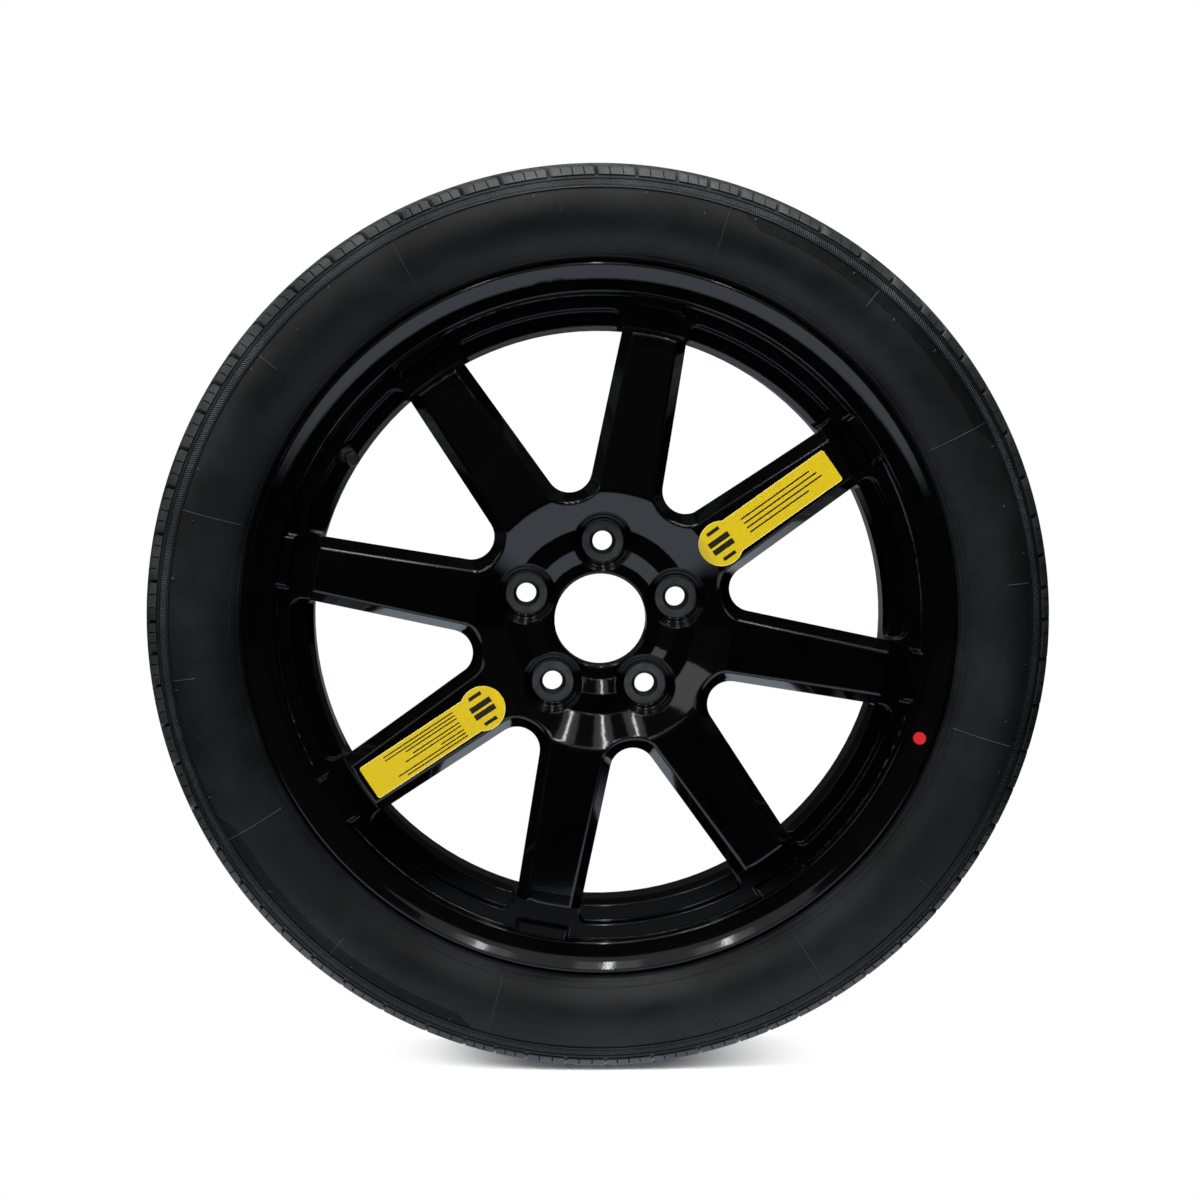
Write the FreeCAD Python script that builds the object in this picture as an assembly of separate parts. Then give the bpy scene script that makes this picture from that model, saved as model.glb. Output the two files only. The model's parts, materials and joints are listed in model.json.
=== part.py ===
import FreeCAD, Part
import math
import os

# Spare wheel in millimetres, standing upright with +Z up.
# The wheel's axis is Y, its origin is the centre of the wheel, and its outer face looks to -Y.
# A place on the wheel is given by its radius from the axis, its height h towards the outer face
# (h is -Y) and its angle, counted from +X towards +Z.

# Rim: bead seats, flanges and barrel
RIM_WIDTH = 101.6
BEAD_SEAT_R = 243.7
BEAD_SEAT_W = 13.8
BEAD_SEAT_TAPER = 5.0
BEAD_HEEL_R = 6.5
HUMP_W = 5.5
HUMP_H = 0.9
FLANGE_R = 260.5
FLANGE_T = 7.2
FLANGE_ROUND = 2.6
BARREL_INNER_R = 209.8
BARREL_WALL = 4.5
WELL_FRONT_TILT = 16.0
WELL_BACK_TILT = 43.5
WELL_ROUND = 5.0

# Cuts and lofts run past the faces they open by this much
OVERRUN = 1.0
# Bonded pieces are modelled this far apart
BOND_GAP = 0.02

# Rim: outer face, from the lip inwards
LIP_LAND = 3.0
LIP_FLOOR_R = 246.0
LIP_CURVE = 28.0
LEDGE_R = 238.5
LEDGE_DEPTH = 6.0
LEDGE_ROUND = 1.2
WEB_R = 236.4
WEB_DEPTH = 12.5
POCKET_R = 225.8
POCKET_FLOOR_R = 224.2
POCKET_DEPTH = 9.5
POCKET_CORNER = 8.0
POCKET_FLOOR_CORNER = 6.5
POCKET_LIP_R = 213.0
POCKET_LIP_DROP = 12.0
POCKET_LIP_CORNER = 4.0
POCKET_SIDE_LAND = 1.0
PAD_TOP_R = 229.8
PAD_HALF_W = 17.5
PAD_SINK = 2.5
PAD_DEPTH = 9.5
PAD_SIDE_SLOPE = 30.0
PAD_END_SLOPE = 30.0

# Spokes and hub
SPOKE_COUNT = 8
FIRST_SPOKE = 34.4
SPOKE_FRONT = 77.0
SPOKE_TIP_R = 210.0
SPOKE_TIP_BASE_R = 213.0
SPOKE_ROOT_R = 100.0
SPOKE_TOP_ROOT = 19.3
SPOKE_TOP_TIP = 15.8
SPOKE_BASE_ROOT = 26.3
SPOKE_BASE_TIP = 23.6
SPOKE_BASE_DEPTH = 14.0
SPOKE_BACK = 36.0
SPOKE_BACK_ARCH_R = 150.0
SPOKE_BACK_ARCH = 60.0
SPOKE_BACK_ARCH_ROUND = 130.0
SPOKE_EDGE_ROUND = 2.2
WINDOW_TIP_TOP = 21.7
WINDOW_TIP_BASE = 16.7
WINDOW_BACK_DRAFT = 3.0
FRONT_FACE_SHARE = 0.8
SIDE_WALL_SHARE = 0.6
BACK_SLOT_W = 20.0
BACK_SLOT_ROOT_R = 102.0
BACK_SLOT_TIP_R = 200.0
BACK_SLOT_DEPTH = 21.0
BACK_SLOT_CORNER = 8.0
BORE_R = 33.55
MOUNT_FACE = 32.0
MOUNT_PAD_R = 76.0
MOUNT_PAD_RISE_W = 6.0
HUB_FLAT = 56.0
HUB_FLAT_R = 43.5
LUG_RING = 62.0
LUG_RING_IN_R = 54.0
LUG_RING_OUT_R = 68.6
DISH_R = 93.0
DISH_ROUND = 9.0
BORE_CHAMFER = 1.2
HUB_RING_ROUND = 2.0
MOUNT_PAD_ROUND = 1.5
SPOKE_FOOT_ROUND = 3.0

# Lug pockets and their seat inserts
LUG_COUNT = 5
LUG_CIRCLE_R = 57.15
FIRST_LUG = 16.4
LUG_POCKET_R = 21.0
LUG_POCKET_FLOOR = 53.5
LUG_POCKET_DRAFT = 1.2
LUG_STEP_R = 18.5
LUG_STEP_FLOOR = 51.6
SEAT_R = 15.5
SEAT_TOP = 51.0
SEAT_BOTTOM = 39.0
SEAT_EDGE = 0.5
SEAT_FIT = 0.03
SEAT_CONE_R = 9.7
SEAT_CONE_HALF_ANGLE = 30.0
LUG_HOLE_R = 7.25
LUG_PASSAGE_CLEARANCE = 0.4

# Tyre
TYRE_R = 333.0
TREAD_HALF_W = 56.5
TREAD_DROP = 5.0
TREAD_ROUND = 5.0
GROOVE_DEPTH = 6.0
GROOVE_HALF_W = 3.0
GROOVE_FLARE = 0.6
SIDE_GROOVE_AT = 26.0
BLOCK_FOOT_R = 321.4
BLOCK_FOOT_AT = 65.0
BLOCK_STEP = 1.3
RIB_OUT_R = 320.8
RIB_IN_R = 319.2
RIB_RISE = 0.7
RING_OUT_R = 313.8
RING_IN_R = 312.4
RING_RISE = 0.8
SIDEWALL_R = 292.5
SIDEWALL_CORNER = 85.5
SIDEWALL_ROUND = 36.0
SIDEWALL_FOOT_GAP = 5.6
SIDEWALL_FOOT_RISE = 5.4
SIDEWALL_FOOT_ROUND = 1.2
CASING_WALL = 7.5
SIDEWALL_INNER_DROP = 10.5
CROWN_WALL = 12.0
BEAD_WIDTH = 13.0
BEAD_FIT = 0.25
FLANGE_GAP = 0.6
STANDING_FLAT = 2.0
SLOT_PITCHES = (4.15, 4.15, 5.2, 5.2, 6.15, 6.15, 5.2)
SLOT_REPEATS = 10
SLOT_W = 2.6
SLOT_INNER_AT = 36.0
SLOT_DEPTH = 5.5
SLOT_SLANT = 16.0
SLOT_SKEW = 14.0
SLOT_OVERRUN = 12.0

# Valve, along its own axis: s is 0 on the inner side of the rim wall and grows outwards
VALVE_ANGLE = 146.9
VALVE_WALL_R = 224.0
VALVE_WALL = 4.5
VALVE_HOLE_R = 5.75
VALVE_NOTCH_R = 9.0
VALVE_HEAD_R = 8.0
VALVE_HEAD_LEN = 6.5
VALVE_HEAD_TAPER = 2.5
VALVE_HEAD_ROUND = 1.0
VALVE_BULGE_R = 7.6
VALVE_BULGE_LEN = 4.0
VALVE_NECK_R = 5.9
VALVE_NECK_ROUND = 4.0
VALVE_BULGE_ROUND = 2.0
RUBBER_EDGE = 0.8
RUBBER_END = 24.0
RUBBER_END_R = 5.2
RUBBER_FIT = 0.15
STEM_TUBE_R = 3.0
STEM_THREAD_R = 3.85
STEM_END = 34.5
STEM_START = -4.5
STEM_AIR_R = 2.1
STEM_CHAMFER = 0.6
STEM_SHOULDER = 0.3
STEM_SEAT = 0.5
CORE_R = 2.55
CORE_FIT = 0.05
CORE_BOTTOM = 21.0
CORE_TOP = 33.4
CORE_WAIST_R = 1.7
CORE_WAIST_FROM = 22.6
CORE_WAIST_TO = 24.4
CORE_SPRING_FLOOR = 27.0
CORE_SPRING_R = 1.75
CORE_EDGE = 0.3
PIN_R = 0.7
PIN_FIT = 0.08
PIN_HEAD_R = 1.35
PIN_HEAD_LEN = 0.7
PIN_PROUD = 0.4
PIN_TAIL = 2.0
POPPET_R = 1.75
POPPET_LEN = 1.6
POPPET_TAPER = 0.5
POPPET_GAP = 0.05
SPRING_WIRE_R = 0.16
SPRING_TURNS = 6
SPRING_END_GAP = 0.04
CAP_R = 4.9
CAP_BOTTOM = 24.8
CAP_WALL_FIT = 0.2
CAP_TOP_T = 1.7
CAP_DOME = 1.2
CAP_FLUTES = 12
CAP_EDGE = 0.4
CAP_FLUTE_R = 0.55
CAP_FLUTE_OUT = 0.2
CAP_FLUTE_RUNOUT = 2.4
CAP_SEAL_T = 0.9
CAP_SEAL_R = 3.7
CAP_SEAL_GAP = 0.05

# Stickers and the mark on the lip
STICKER_T = 0.25
LABEL_HEAD_R = 16.35
LABEL_HALF_W = 13.15
LABEL_LENGTH = 114.9
LABEL_CORNER = 2.0
# Each label: its spoke, where its head begins, how far its head is off the spoke's middle, its turn
LABELS = {"label_right": (0, 86.8, -2.1, 0.9), "label_left": (4, 89.9, 3.0, -1.0)}
DOT_R = 4.5
DOT_AT = 249.7
DOT_ANGLE = 339.4

HALF_RIM = RIM_WIDTH / 2
LIP = HALF_RIM + FLANGE_T
LEDGE = LIP - LEDGE_DEPTH
WEB = LIP - WEB_DEPTH
POCKET_FLOOR = WEB - POCKET_DEPTH
SPOKE_BASE = SPOKE_FRONT - SPOKE_BASE_DEPTH
WELL_R = BARREL_INNER_R + BARREL_WALL
SPOKE_PITCH = 360.0 / SPOKE_COUNT
# The rim's turned faces begin and end here, midway between two lugs
RIM_SEAM = FIRST_LUG + 1.5 * 360.0 / LUG_COUNT
BEAD_SEAT_END = HALF_RIM - BEAD_SEAT_W
BEAD_SEAT_END_R = BEAD_SEAT_R - BEAD_SEAT_W * math.tan(math.radians(BEAD_SEAT_TAPER))
WELL_FRONT_TOP = BEAD_SEAT_END - HUMP_W
ORIGIN = FreeCAD.Vector(0, 0, 0)
WHEEL_AXIS = FreeCAD.Vector(0, 1, 0)
LOCAL_AXIS = FreeCAD.Vector(0, 0, 1)


def wheel_point(radius, h):
    return FreeCAD.Vector(radius, -h, 0)


def local_point(radius, s):
    return FreeCAD.Vector(radius, 0, s)


def rounded_wire(corners):
    """Closed wire through (point, rounding) corners, with tangent arcs at the rounded ones."""
    edges = []
    starts = []
    count = len(corners)
    for index, (point, rounding) in enumerate(corners):
        if rounding == 0:
            starts.append((point, point))
            continue
        back = (corners[index - 1][0] - point).normalize()
        ahead = (corners[(index + 1) % count][0] - point).normalize()
        half = back.getAngle(ahead) / 2
        reach = rounding / math.tan(half)
        middle = (back + ahead).normalize()
        nearest = point + middle * (rounding / math.sin(half) - rounding)
        first = point + back * reach
        last = point + ahead * reach
        edges.append(Part.Arc(first, nearest, last).toShape())
        starts.append((first, last))
    for index in range(count):
        leave = starts[index][1]
        arrive = starts[(index + 1) % count][0]
        if leave.distanceToPoint(arrive) > 1e-6:
            edges.append(Part.LineSegment(leave, arrive).toShape())
    return Part.Wire(Part.__sortEdges__(edges))


def wheel_turned(profile):
    """Solid of revolution about the wheel's axis from (radius, h, rounding) corners."""
    wire = rounded_wire([(wheel_point(radius, h), rounding) for radius, h, rounding in profile])
    return Part.Face(wire).revolve(ORIGIN, WHEEL_AXIS, 360)


def local_turned(profile):
    """Solid of revolution about the local Z axis from (radius, s, rounding) corners."""
    wire = rounded_wire([(local_point(radius, s), rounding) for radius, s, rounding in profile])
    return Part.Face(wire).revolve(ORIGIN, LOCAL_AXIS, 360)


def at_angle(shape, angle):
    """Copy of a shape, turned about the wheel's axis from +X towards +Z."""
    turned = shape.copy()
    turned.rotate(ORIGIN, WHEEL_AXIS, -angle)
    return turned


def around(shape, count, first):
    return [at_angle(shape, first + 360.0 * index / count) for index in range(count)]


def outward_placement(radius, h, tilt, angle):
    """Placement that puts local Z along the outward direction, tilted towards the wheel's axis."""
    lean = math.radians(tilt)
    direction = FreeCAD.Vector(-math.sin(lean), -math.cos(lean), 0)
    place = FreeCAD.Placement(wheel_point(radius, h), FreeCAD.Rotation(LOCAL_AXIS, direction))
    turn = FreeCAD.Placement(ORIGIN, FreeCAD.Rotation(WHEEL_AXIS, -angle))
    return turn.multiply(place)


def placed(shape, placement):
    moved = shape.copy()
    moved.Placement = placement.multiply(moved.Placement)
    return moved


def well_front_h(radius):
    """Height of the well's front wall, which the valve sits on."""
    return WELL_FRONT_TOP - (BEAD_SEAT_END_R - radius) * math.tan(math.radians(WELL_FRONT_TILT))


def bead_side(side):
    """Corners of one flange and bead seat on the tyre's side, from the flange to the well."""
    return [
        (FLANGE_R, side * LIP, FLANGE_ROUND),
        (FLANGE_R, side * HALF_RIM, FLANGE_ROUND),
        (BEAD_SEAT_R, side * HALF_RIM, BEAD_HEEL_R),
        (BEAD_SEAT_END_R, side * BEAD_SEAT_END, 0),
        (BEAD_SEAT_END_R + HUMP_H, side * (BEAD_SEAT_END - HUMP_W / 2), HUMP_W / 2),
        (BEAD_SEAT_END_R - HUMP_H, side * WELL_FRONT_TOP, 0),
    ]


def rim_ring():
    """Lip, ledge, web, barrel and both flanges as one ring, before the pockets are cut."""
    back_tilt = math.radians(WELL_BACK_TILT)
    back_rise = BEAD_SEAT_END_R - HUMP_H - WELL_R
    well_back_start = -WELL_FRONT_TOP + back_rise * math.tan(back_tilt)
    back_inner_start = well_back_start - BARREL_WALL * math.tan(math.pi / 4 - back_tilt / 2)
    under_seat_r = BEAD_SEAT_END_R - BARREL_WALL
    under_rise = under_seat_r - BARREL_INNER_R
    front_side = bead_side(1)
    back_side = bead_side(-1)
    profile = front_side + [
        (WELL_R, well_front_h(WELL_R), WELL_ROUND),
        (WELL_R, well_back_start, WELL_ROUND),
    ]
    profile += reversed(back_side)
    profile += [
        (FLANGE_R - FLANGE_T, -LIP, 0),
        (under_seat_r, -HALF_RIM, WELL_ROUND),
        (under_seat_r, back_inner_start - under_rise * math.tan(back_tilt), WELL_ROUND),
        (BARREL_INNER_R, back_inner_start, WELL_ROUND),
        (BARREL_INNER_R, WEB, 0),
        (WEB_R, WEB, LEDGE_ROUND),
        (LEDGE_R, LEDGE, LEDGE_ROUND),
        (LIP_FLOOR_R, LEDGE, LIP_CURVE),
        (FLANGE_R - LIP_LAND, LIP, LEDGE_ROUND),
    ]
    return at_angle(wheel_turned(profile), RIM_SEAM)


def spoke_side_point(radius, half_width, h):
    """Point on a spoke's side, in a window whose centre line is +X."""
    half_pitch = math.radians(SPOKE_PITCH / 2)
    x = radius * math.cos(half_pitch) + half_width * math.sin(half_pitch)
    z = radius * math.sin(half_pitch) - half_width * math.cos(half_pitch)
    return FreeCAD.Vector(x, -h, z)


def side_half_width(radius, root, tip):
    share = (radius - SPOKE_ROOT_R) / (SPOKE_TIP_R - SPOKE_ROOT_R)
    return root + (tip - root) * share


def window_corners(h):
    """Corners of a window between two spokes at one height: a wedge with a rounded inner tip."""
    share = min((SPOKE_FRONT - h) / SPOKE_BASE_DEPTH, 1)
    relief = max(SPOKE_BASE - h, 0) * math.tan(math.radians(WINDOW_BACK_DRAFT))
    root = SPOKE_TOP_ROOT + (SPOKE_BASE_ROOT - SPOKE_TOP_ROOT) * share - relief
    tip = SPOKE_TOP_TIP + (SPOKE_BASE_TIP - SPOKE_TOP_TIP) * share - relief
    tip_round = WINDOW_TIP_TOP + (WINDOW_TIP_BASE - WINDOW_TIP_TOP) * share
    far = spoke_side_point(LEDGE_R, side_half_width(LEDGE_R, root, tip), h)
    near = spoke_side_point(SPOKE_ROOT_R, root, h)
    apex_x = near.x - near.z * (far.x - near.x) / (far.z - near.z)
    return [
        (FreeCAD.Vector(apex_x, -h, 0), tip_round),
        (FreeCAD.Vector(far.x, -h, -far.z), 0),
        (far, 0),
    ]


def window_cutters():
    """Windows, narrowing from the front to the spokes' widest line and opening again behind it."""
    levels = (SPOKE_FRONT + OVERRUN, SPOKE_BASE, MOUNT_FACE - OVERRUN)
    wires = [rounded_wire(window_corners(h)) for h in levels]
    window = Part.makeLoft(wires, True, True)
    return around(window, SPOKE_COUNT, FIRST_SPOKE + SPOKE_PITCH / 2)


def face_profile():
    """The hub and spoke front from the lug ring to the spoke tips, as (radius, h, rounding)."""
    return [
        (LUG_RING_OUT_R, LUG_RING, HUB_RING_ROUND),
        (DISH_R, SPOKE_FRONT, DISH_ROUND),
        (SPOKE_TIP_R, SPOKE_FRONT, 0),
    ]


def outward_share(face, point):
    """How squarely a face looks along the wheel's axis at a point, from 0 to 1."""
    u, v = face.Surface.parameter(point)
    return abs(face.normalAt(u, v).y)


def is_spoke_rim(solid, edge):
    """True for the front edges of the spokes: a front face on one side and a wall on the other."""
    middle = edge.valueAt((edge.FirstParameter + edge.LastParameter) / 2)
    if -middle.y < LUG_RING + OVERRUN:
        return False
    shares = [outward_share(face, middle) for face in solid.ancestorsOfType(edge, Part.Face)]
    return max(shares) > FRONT_FACE_SHARE and min(shares) < SIDE_WALL_SHARE


def spoke_star():
    """Hub and spokes: a dished disc with the eight windows cut out and its front edges rounded."""
    profile = [
        (BORE_R, MOUNT_FACE + BORE_CHAMFER, 0),
        (BORE_R, HUB_FLAT - BORE_CHAMFER, 0),
        (BORE_R + BORE_CHAMFER, HUB_FLAT, 0),
        (HUB_FLAT_R, HUB_FLAT, HUB_RING_ROUND),
        (LUG_RING_IN_R, LUG_RING, HUB_RING_ROUND),
    ]
    profile += face_profile()
    profile += [
        (SPOKE_TIP_BASE_R, WEB, 0),
        (SPOKE_TIP_BASE_R, SPOKE_BACK, 0),
        (SPOKE_BACK_ARCH_R, SPOKE_BACK_ARCH, SPOKE_BACK_ARCH_ROUND),
        (MOUNT_PAD_R + MOUNT_PAD_RISE_W, SPOKE_BACK, SPOKE_FOOT_ROUND),
        (MOUNT_PAD_R, MOUNT_FACE, MOUNT_PAD_ROUND),
        (BORE_R + BORE_CHAMFER, MOUNT_FACE, 0),
    ]
    star = at_angle(wheel_turned(profile), RIM_SEAM)
    star = star.cut(window_cutters())
    rims = [edge for edge in star.Edges if is_spoke_rim(star, edge)]
    return star.makeFillet(SPOKE_EDGE_ROUND, rims)


def pocket_wire(outer_radius, corner, h):
    """Closed outline of a pocket: two sides along the spokes and an outer arc, rounded between."""
    half = SPOKE_BASE_TIP + POCKET_SIDE_LAND
    near = spoke_side_point(BARREL_INNER_R - POCKET_CORNER, half, h)
    side = (spoke_side_point(outer_radius, half, h) - near).normalize()
    inward = FreeCAD.Vector(side.z, 0, -side.x)
    offset = near.dot(inward) + corner
    arc_r = outer_radius - corner
    along = math.sqrt(arc_r**2 - offset**2)
    centre = inward * offset + side * along
    centre.y = -h
    touch_side = centre - inward * corner
    outward = FreeCAD.Vector(centre.x, 0, centre.z).normalize()
    touch_arc = centre + outward * corner
    between = centre + (outward - inward).normalize() * corner

    def mirrored(point):
        return FreeCAD.Vector(point.x, point.y, -point.z)

    crown = FreeCAD.Vector(outer_radius, -h, 0)
    edges = [
        Part.LineSegment(near, touch_side),
        Part.Arc(touch_side, between, touch_arc),
        Part.Arc(touch_arc, crown, mirrored(touch_arc)),
        Part.Arc(mirrored(touch_arc), mirrored(between), mirrored(touch_side)),
        Part.LineSegment(mirrored(touch_side), mirrored(near)),
        Part.LineSegment(mirrored(near), near),
    ]
    return Part.Wire([edge.toShape() for edge in edges])


def pocket_cutters():
    """Flat-floored pockets between the spokes, each with a drafted inner edge."""
    slope = (POCKET_R - POCKET_FLOOR_R) / POCKET_DEPTH
    top = pocket_wire(POCKET_R + slope * OVERRUN, POCKET_CORNER, WEB + OVERRUN)
    bottom = pocket_wire(POCKET_FLOOR_R, POCKET_FLOOR_CORNER, POCKET_FLOOR)
    cutter = Part.makeLoft([top, bottom], True, True)
    draft = (POCKET_LIP_R - BARREL_INNER_R) / POCKET_LIP_DROP * OVERRUN
    drop = POCKET_FLOOR - POCKET_LIP_DROP - OVERRUN
    lip_top = pocket_wire(POCKET_LIP_R + draft, POCKET_LIP_CORNER, POCKET_FLOOR + OVERRUN)
    lip_bottom = pocket_wire(BARREL_INNER_R - draft, POCKET_LIP_CORNER, drop)
    cutter = cutter.fuse(Part.makeLoft([lip_top, lip_bottom], True, True))
    return around(cutter, SPOKE_COUNT, FIRST_SPOKE + SPOKE_PITCH / 2)


def rectangle(low_x, high_x, half_z, h):
    points = [
        FreeCAD.Vector(low_x, -h, -half_z),
        FreeCAD.Vector(high_x, -h, -half_z),
        FreeCAD.Vector(high_x, -h, half_z),
        FreeCAD.Vector(low_x, -h, half_z),
    ]
    return Part.makePolygon(points + points[:1])


def spoke_pads():
    """Raised pads against the ledge wall, one outside each spoke tip."""
    high_x = LEDGE_R + LEDGE_ROUND
    pad_top = LEDGE - PAD_SINK
    low_x = PAD_TOP_R - PAD_DEPTH * math.tan(math.radians(PAD_END_SLOPE))
    base_half = PAD_HALF_W + PAD_DEPTH * math.tan(math.radians(PAD_SIDE_SLOPE))
    top = rectangle(PAD_TOP_R, high_x, PAD_HALF_W, pad_top)
    base = rectangle(low_x, high_x, base_half, pad_top - PAD_DEPTH)
    return around(Part.makeLoft([top, base], True, True), SPOKE_COUNT, FIRST_SPOKE)


def back_slots():
    """Long lightening slots in the backs of the spokes."""
    half = BACK_SLOT_W / 2
    outline = rounded_wire([
        (FreeCAD.Vector(BACK_SLOT_ROOT_R, -MOUNT_FACE, -half), BACK_SLOT_CORNER),
        (FreeCAD.Vector(BACK_SLOT_TIP_R, -MOUNT_FACE, -half), BACK_SLOT_CORNER),
        (FreeCAD.Vector(BACK_SLOT_TIP_R, -MOUNT_FACE, half), BACK_SLOT_CORNER),
        (FreeCAD.Vector(BACK_SLOT_ROOT_R, -MOUNT_FACE, half), BACK_SLOT_CORNER),
    ])
    depth = SPOKE_BACK + BACK_SLOT_DEPTH - MOUNT_FACE
    slot = Part.Face(outline).extrude(FreeCAD.Vector(0, -depth, 0))
    return around(slot, SPOKE_COUNT, FIRST_SPOKE)


def lug_cutters():
    """Stepped pocket, seat hole and bolt passage of each lug."""
    passage_r = LUG_HOLE_R + LUG_PASSAGE_CLEARANCE
    profile = [
        (0, MOUNT_FACE - OVERRUN, 0),
        (passage_r, MOUNT_FACE - OVERRUN, 0),
        (passage_r, SEAT_BOTTOM, 0),
        (SEAT_R, SEAT_BOTTOM, 0),
        (SEAT_R, LUG_STEP_FLOOR, 0),
        (LUG_STEP_R, LUG_STEP_FLOOR, 0),
        (LUG_STEP_R, LUG_POCKET_FLOOR, 0),
        (LUG_POCKET_R, LUG_POCKET_FLOOR, 0),
        (LUG_POCKET_R + LUG_POCKET_DRAFT, SPOKE_FRONT, 0),
        (0, SPOKE_FRONT, 0),
    ]
    cutter = wheel_turned(profile)
    cutter.translate(FreeCAD.Vector(LUG_CIRCLE_R, 0, 0))
    return around(cutter, LUG_COUNT, FIRST_LUG)


def lug_seat():
    """Pressed-in seat insert with a conical mouth, on the lug circle at +X."""
    outer_r = SEAT_R - SEAT_FIT
    cone_depth = (SEAT_CONE_R - LUG_HOLE_R) / math.tan(math.radians(SEAT_CONE_HALF_ANGLE))
    profile = [
        (LUG_HOLE_R, SEAT_BOTTOM, 0),
        (outer_r, SEAT_BOTTOM, 0),
        (outer_r, SEAT_TOP - SEAT_EDGE, 0),
        (outer_r - SEAT_EDGE, SEAT_TOP, 0),
        (SEAT_CONE_R, SEAT_TOP, 0),
        (LUG_HOLE_R, SEAT_TOP - cone_depth, 0),
    ]
    seat = wheel_turned(profile)
    seat.translate(FreeCAD.Vector(LUG_CIRCLE_R, 0, 0))
    return seat


def valve_placement():
    return outward_placement(VALVE_WALL_R, well_front_h(VALVE_WALL_R), WELL_FRONT_TILT, VALVE_ANGLE)


def valve_cutters():
    """Valve hole through the web's wall, and the round notch that the valve stands in."""
    hole = Part.makeCylinder(VALVE_HOLE_R, 2 * VALVE_WALL, ORIGIN - LOCAL_AXIS * (VALVE_WALL / 2))
    notch = Part.makeCylinder(VALVE_NOTCH_R, SPOKE_FRONT, LOCAL_AXIS * VALVE_WALL)
    return [placed(shape, valve_placement()) for shape in (hole, notch)]


def rim():
    ring = rim_ring().fuse(spoke_pads())
    ring = ring.cut(pocket_cutters())
    body = ring.fuse(spoke_star())
    body = body.cut(back_slots() + lug_cutters() + valve_cutters())
    return body.removeSplitter()


def sidewall_h(radius):
    """Height of the sidewall's upper flank, from the block foot to the widest part."""
    slope = (SIDEWALL_CORNER - BLOCK_FOOT_AT) / (BLOCK_FOOT_R - SIDEWALL_R)
    return BLOCK_FOOT_AT + (BLOCK_FOOT_R - radius) * slope


def tyre_outer():
    """Outside of the tyre's outer half, from the tread's middle to the bead heel."""
    crown = TYRE_R - GROOVE_DEPTH
    side_r = TYRE_R - TREAD_DROP * (SIDE_GROOVE_AT / TREAD_HALF_W) ** 2
    groove_in = SIDE_GROOVE_AT - GROOVE_HALF_W
    groove_out = SIDE_GROOVE_AT + GROOVE_HALF_W
    heel_r = BEAD_SEAT_R + BEAD_FIT
    face_h = HALF_RIM - BEAD_FIT
    foot_r = FLANGE_R + SIDEWALL_FOOT_GAP
    return [
        (crown, GROOVE_HALF_W, 0),
        (TYRE_R, GROOVE_HALF_W + GROOVE_FLARE, 0),
        (side_r, groove_in - GROOVE_FLARE, 0),
        (side_r - GROOVE_DEPTH, groove_in, 0),
        (side_r - GROOVE_DEPTH, groove_out, 0),
        (side_r, groove_out + GROOVE_FLARE, 0),
        (TYRE_R - TREAD_DROP, TREAD_HALF_W, TREAD_ROUND),
        (BLOCK_FOOT_R + BLOCK_STEP / 2, BLOCK_FOOT_AT + BLOCK_STEP, 0),
        (BLOCK_FOOT_R, BLOCK_FOOT_AT, 0),
        (RIB_OUT_R, sidewall_h(RIB_OUT_R) + RIB_RISE, 0),
        (RIB_IN_R, sidewall_h(RIB_IN_R) + RIB_RISE, 0),
        (RIB_IN_R - RIB_RISE / 2, sidewall_h(RIB_IN_R - RIB_RISE / 2), 0),
        (RING_OUT_R, sidewall_h(RING_OUT_R), 0),
        (RING_OUT_R - RING_RISE / 4, sidewall_h(RING_OUT_R) + RING_RISE, 0),
        (RING_IN_R + RING_RISE / 4, sidewall_h(RING_IN_R) + RING_RISE, 0),
        (RING_IN_R, sidewall_h(RING_IN_R), 0),
        (SIDEWALL_R, SIDEWALL_CORNER, SIDEWALL_ROUND),
        (foot_r, LIP + SIDEWALL_FOOT_RISE, SIDEWALL_FOOT_ROUND),
        (FLANGE_R + FLANGE_GAP, LIP - FLANGE_ROUND, 0),
        (FLANGE_R + FLANGE_GAP, HALF_RIM + FLANGE_GAP, FLANGE_ROUND / 2),
        (FLANGE_R - FLANGE_ROUND, face_h, FLANGE_ROUND / 2),
        (heel_r, face_h, BEAD_HEEL_R),
    ]


def tyre_inner():
    """Inside of the tyre's outer half, from the bead toe to the crown."""
    toe_h = HALF_RIM - BEAD_WIDTH
    toe_r = BEAD_SEAT_R + BEAD_FIT - BEAD_WIDTH * math.tan(math.radians(BEAD_SEAT_TAPER))
    shoulder_r = BLOCK_FOOT_R - CASING_WALL
    return [
        (toe_r, toe_h, 0),
        (FLANGE_R - CASING_WALL, HALF_RIM - CASING_WALL, CASING_WALL),
        (SIDEWALL_R, SIDEWALL_CORNER - SIDEWALL_INNER_DROP, SIDEWALL_ROUND - CASING_WALL),
        (shoulder_r, BLOCK_FOOT_AT - CASING_WALL, CASING_WALL),
        (TYRE_R - CROWN_WALL, SIDE_GROOVE_AT, 0),
    ]


def slot_angles():
    """Angles of the shoulder slots: a repeated run of short, middle and long pitches."""
    scale = 360.0 / (sum(SLOT_PITCHES) * SLOT_REPEATS)
    angles = []
    angle = 0.0
    for pitch in SLOT_PITCHES * SLOT_REPEATS:
        angles.append(angle)
        angle += pitch * scale
    return angles


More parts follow.
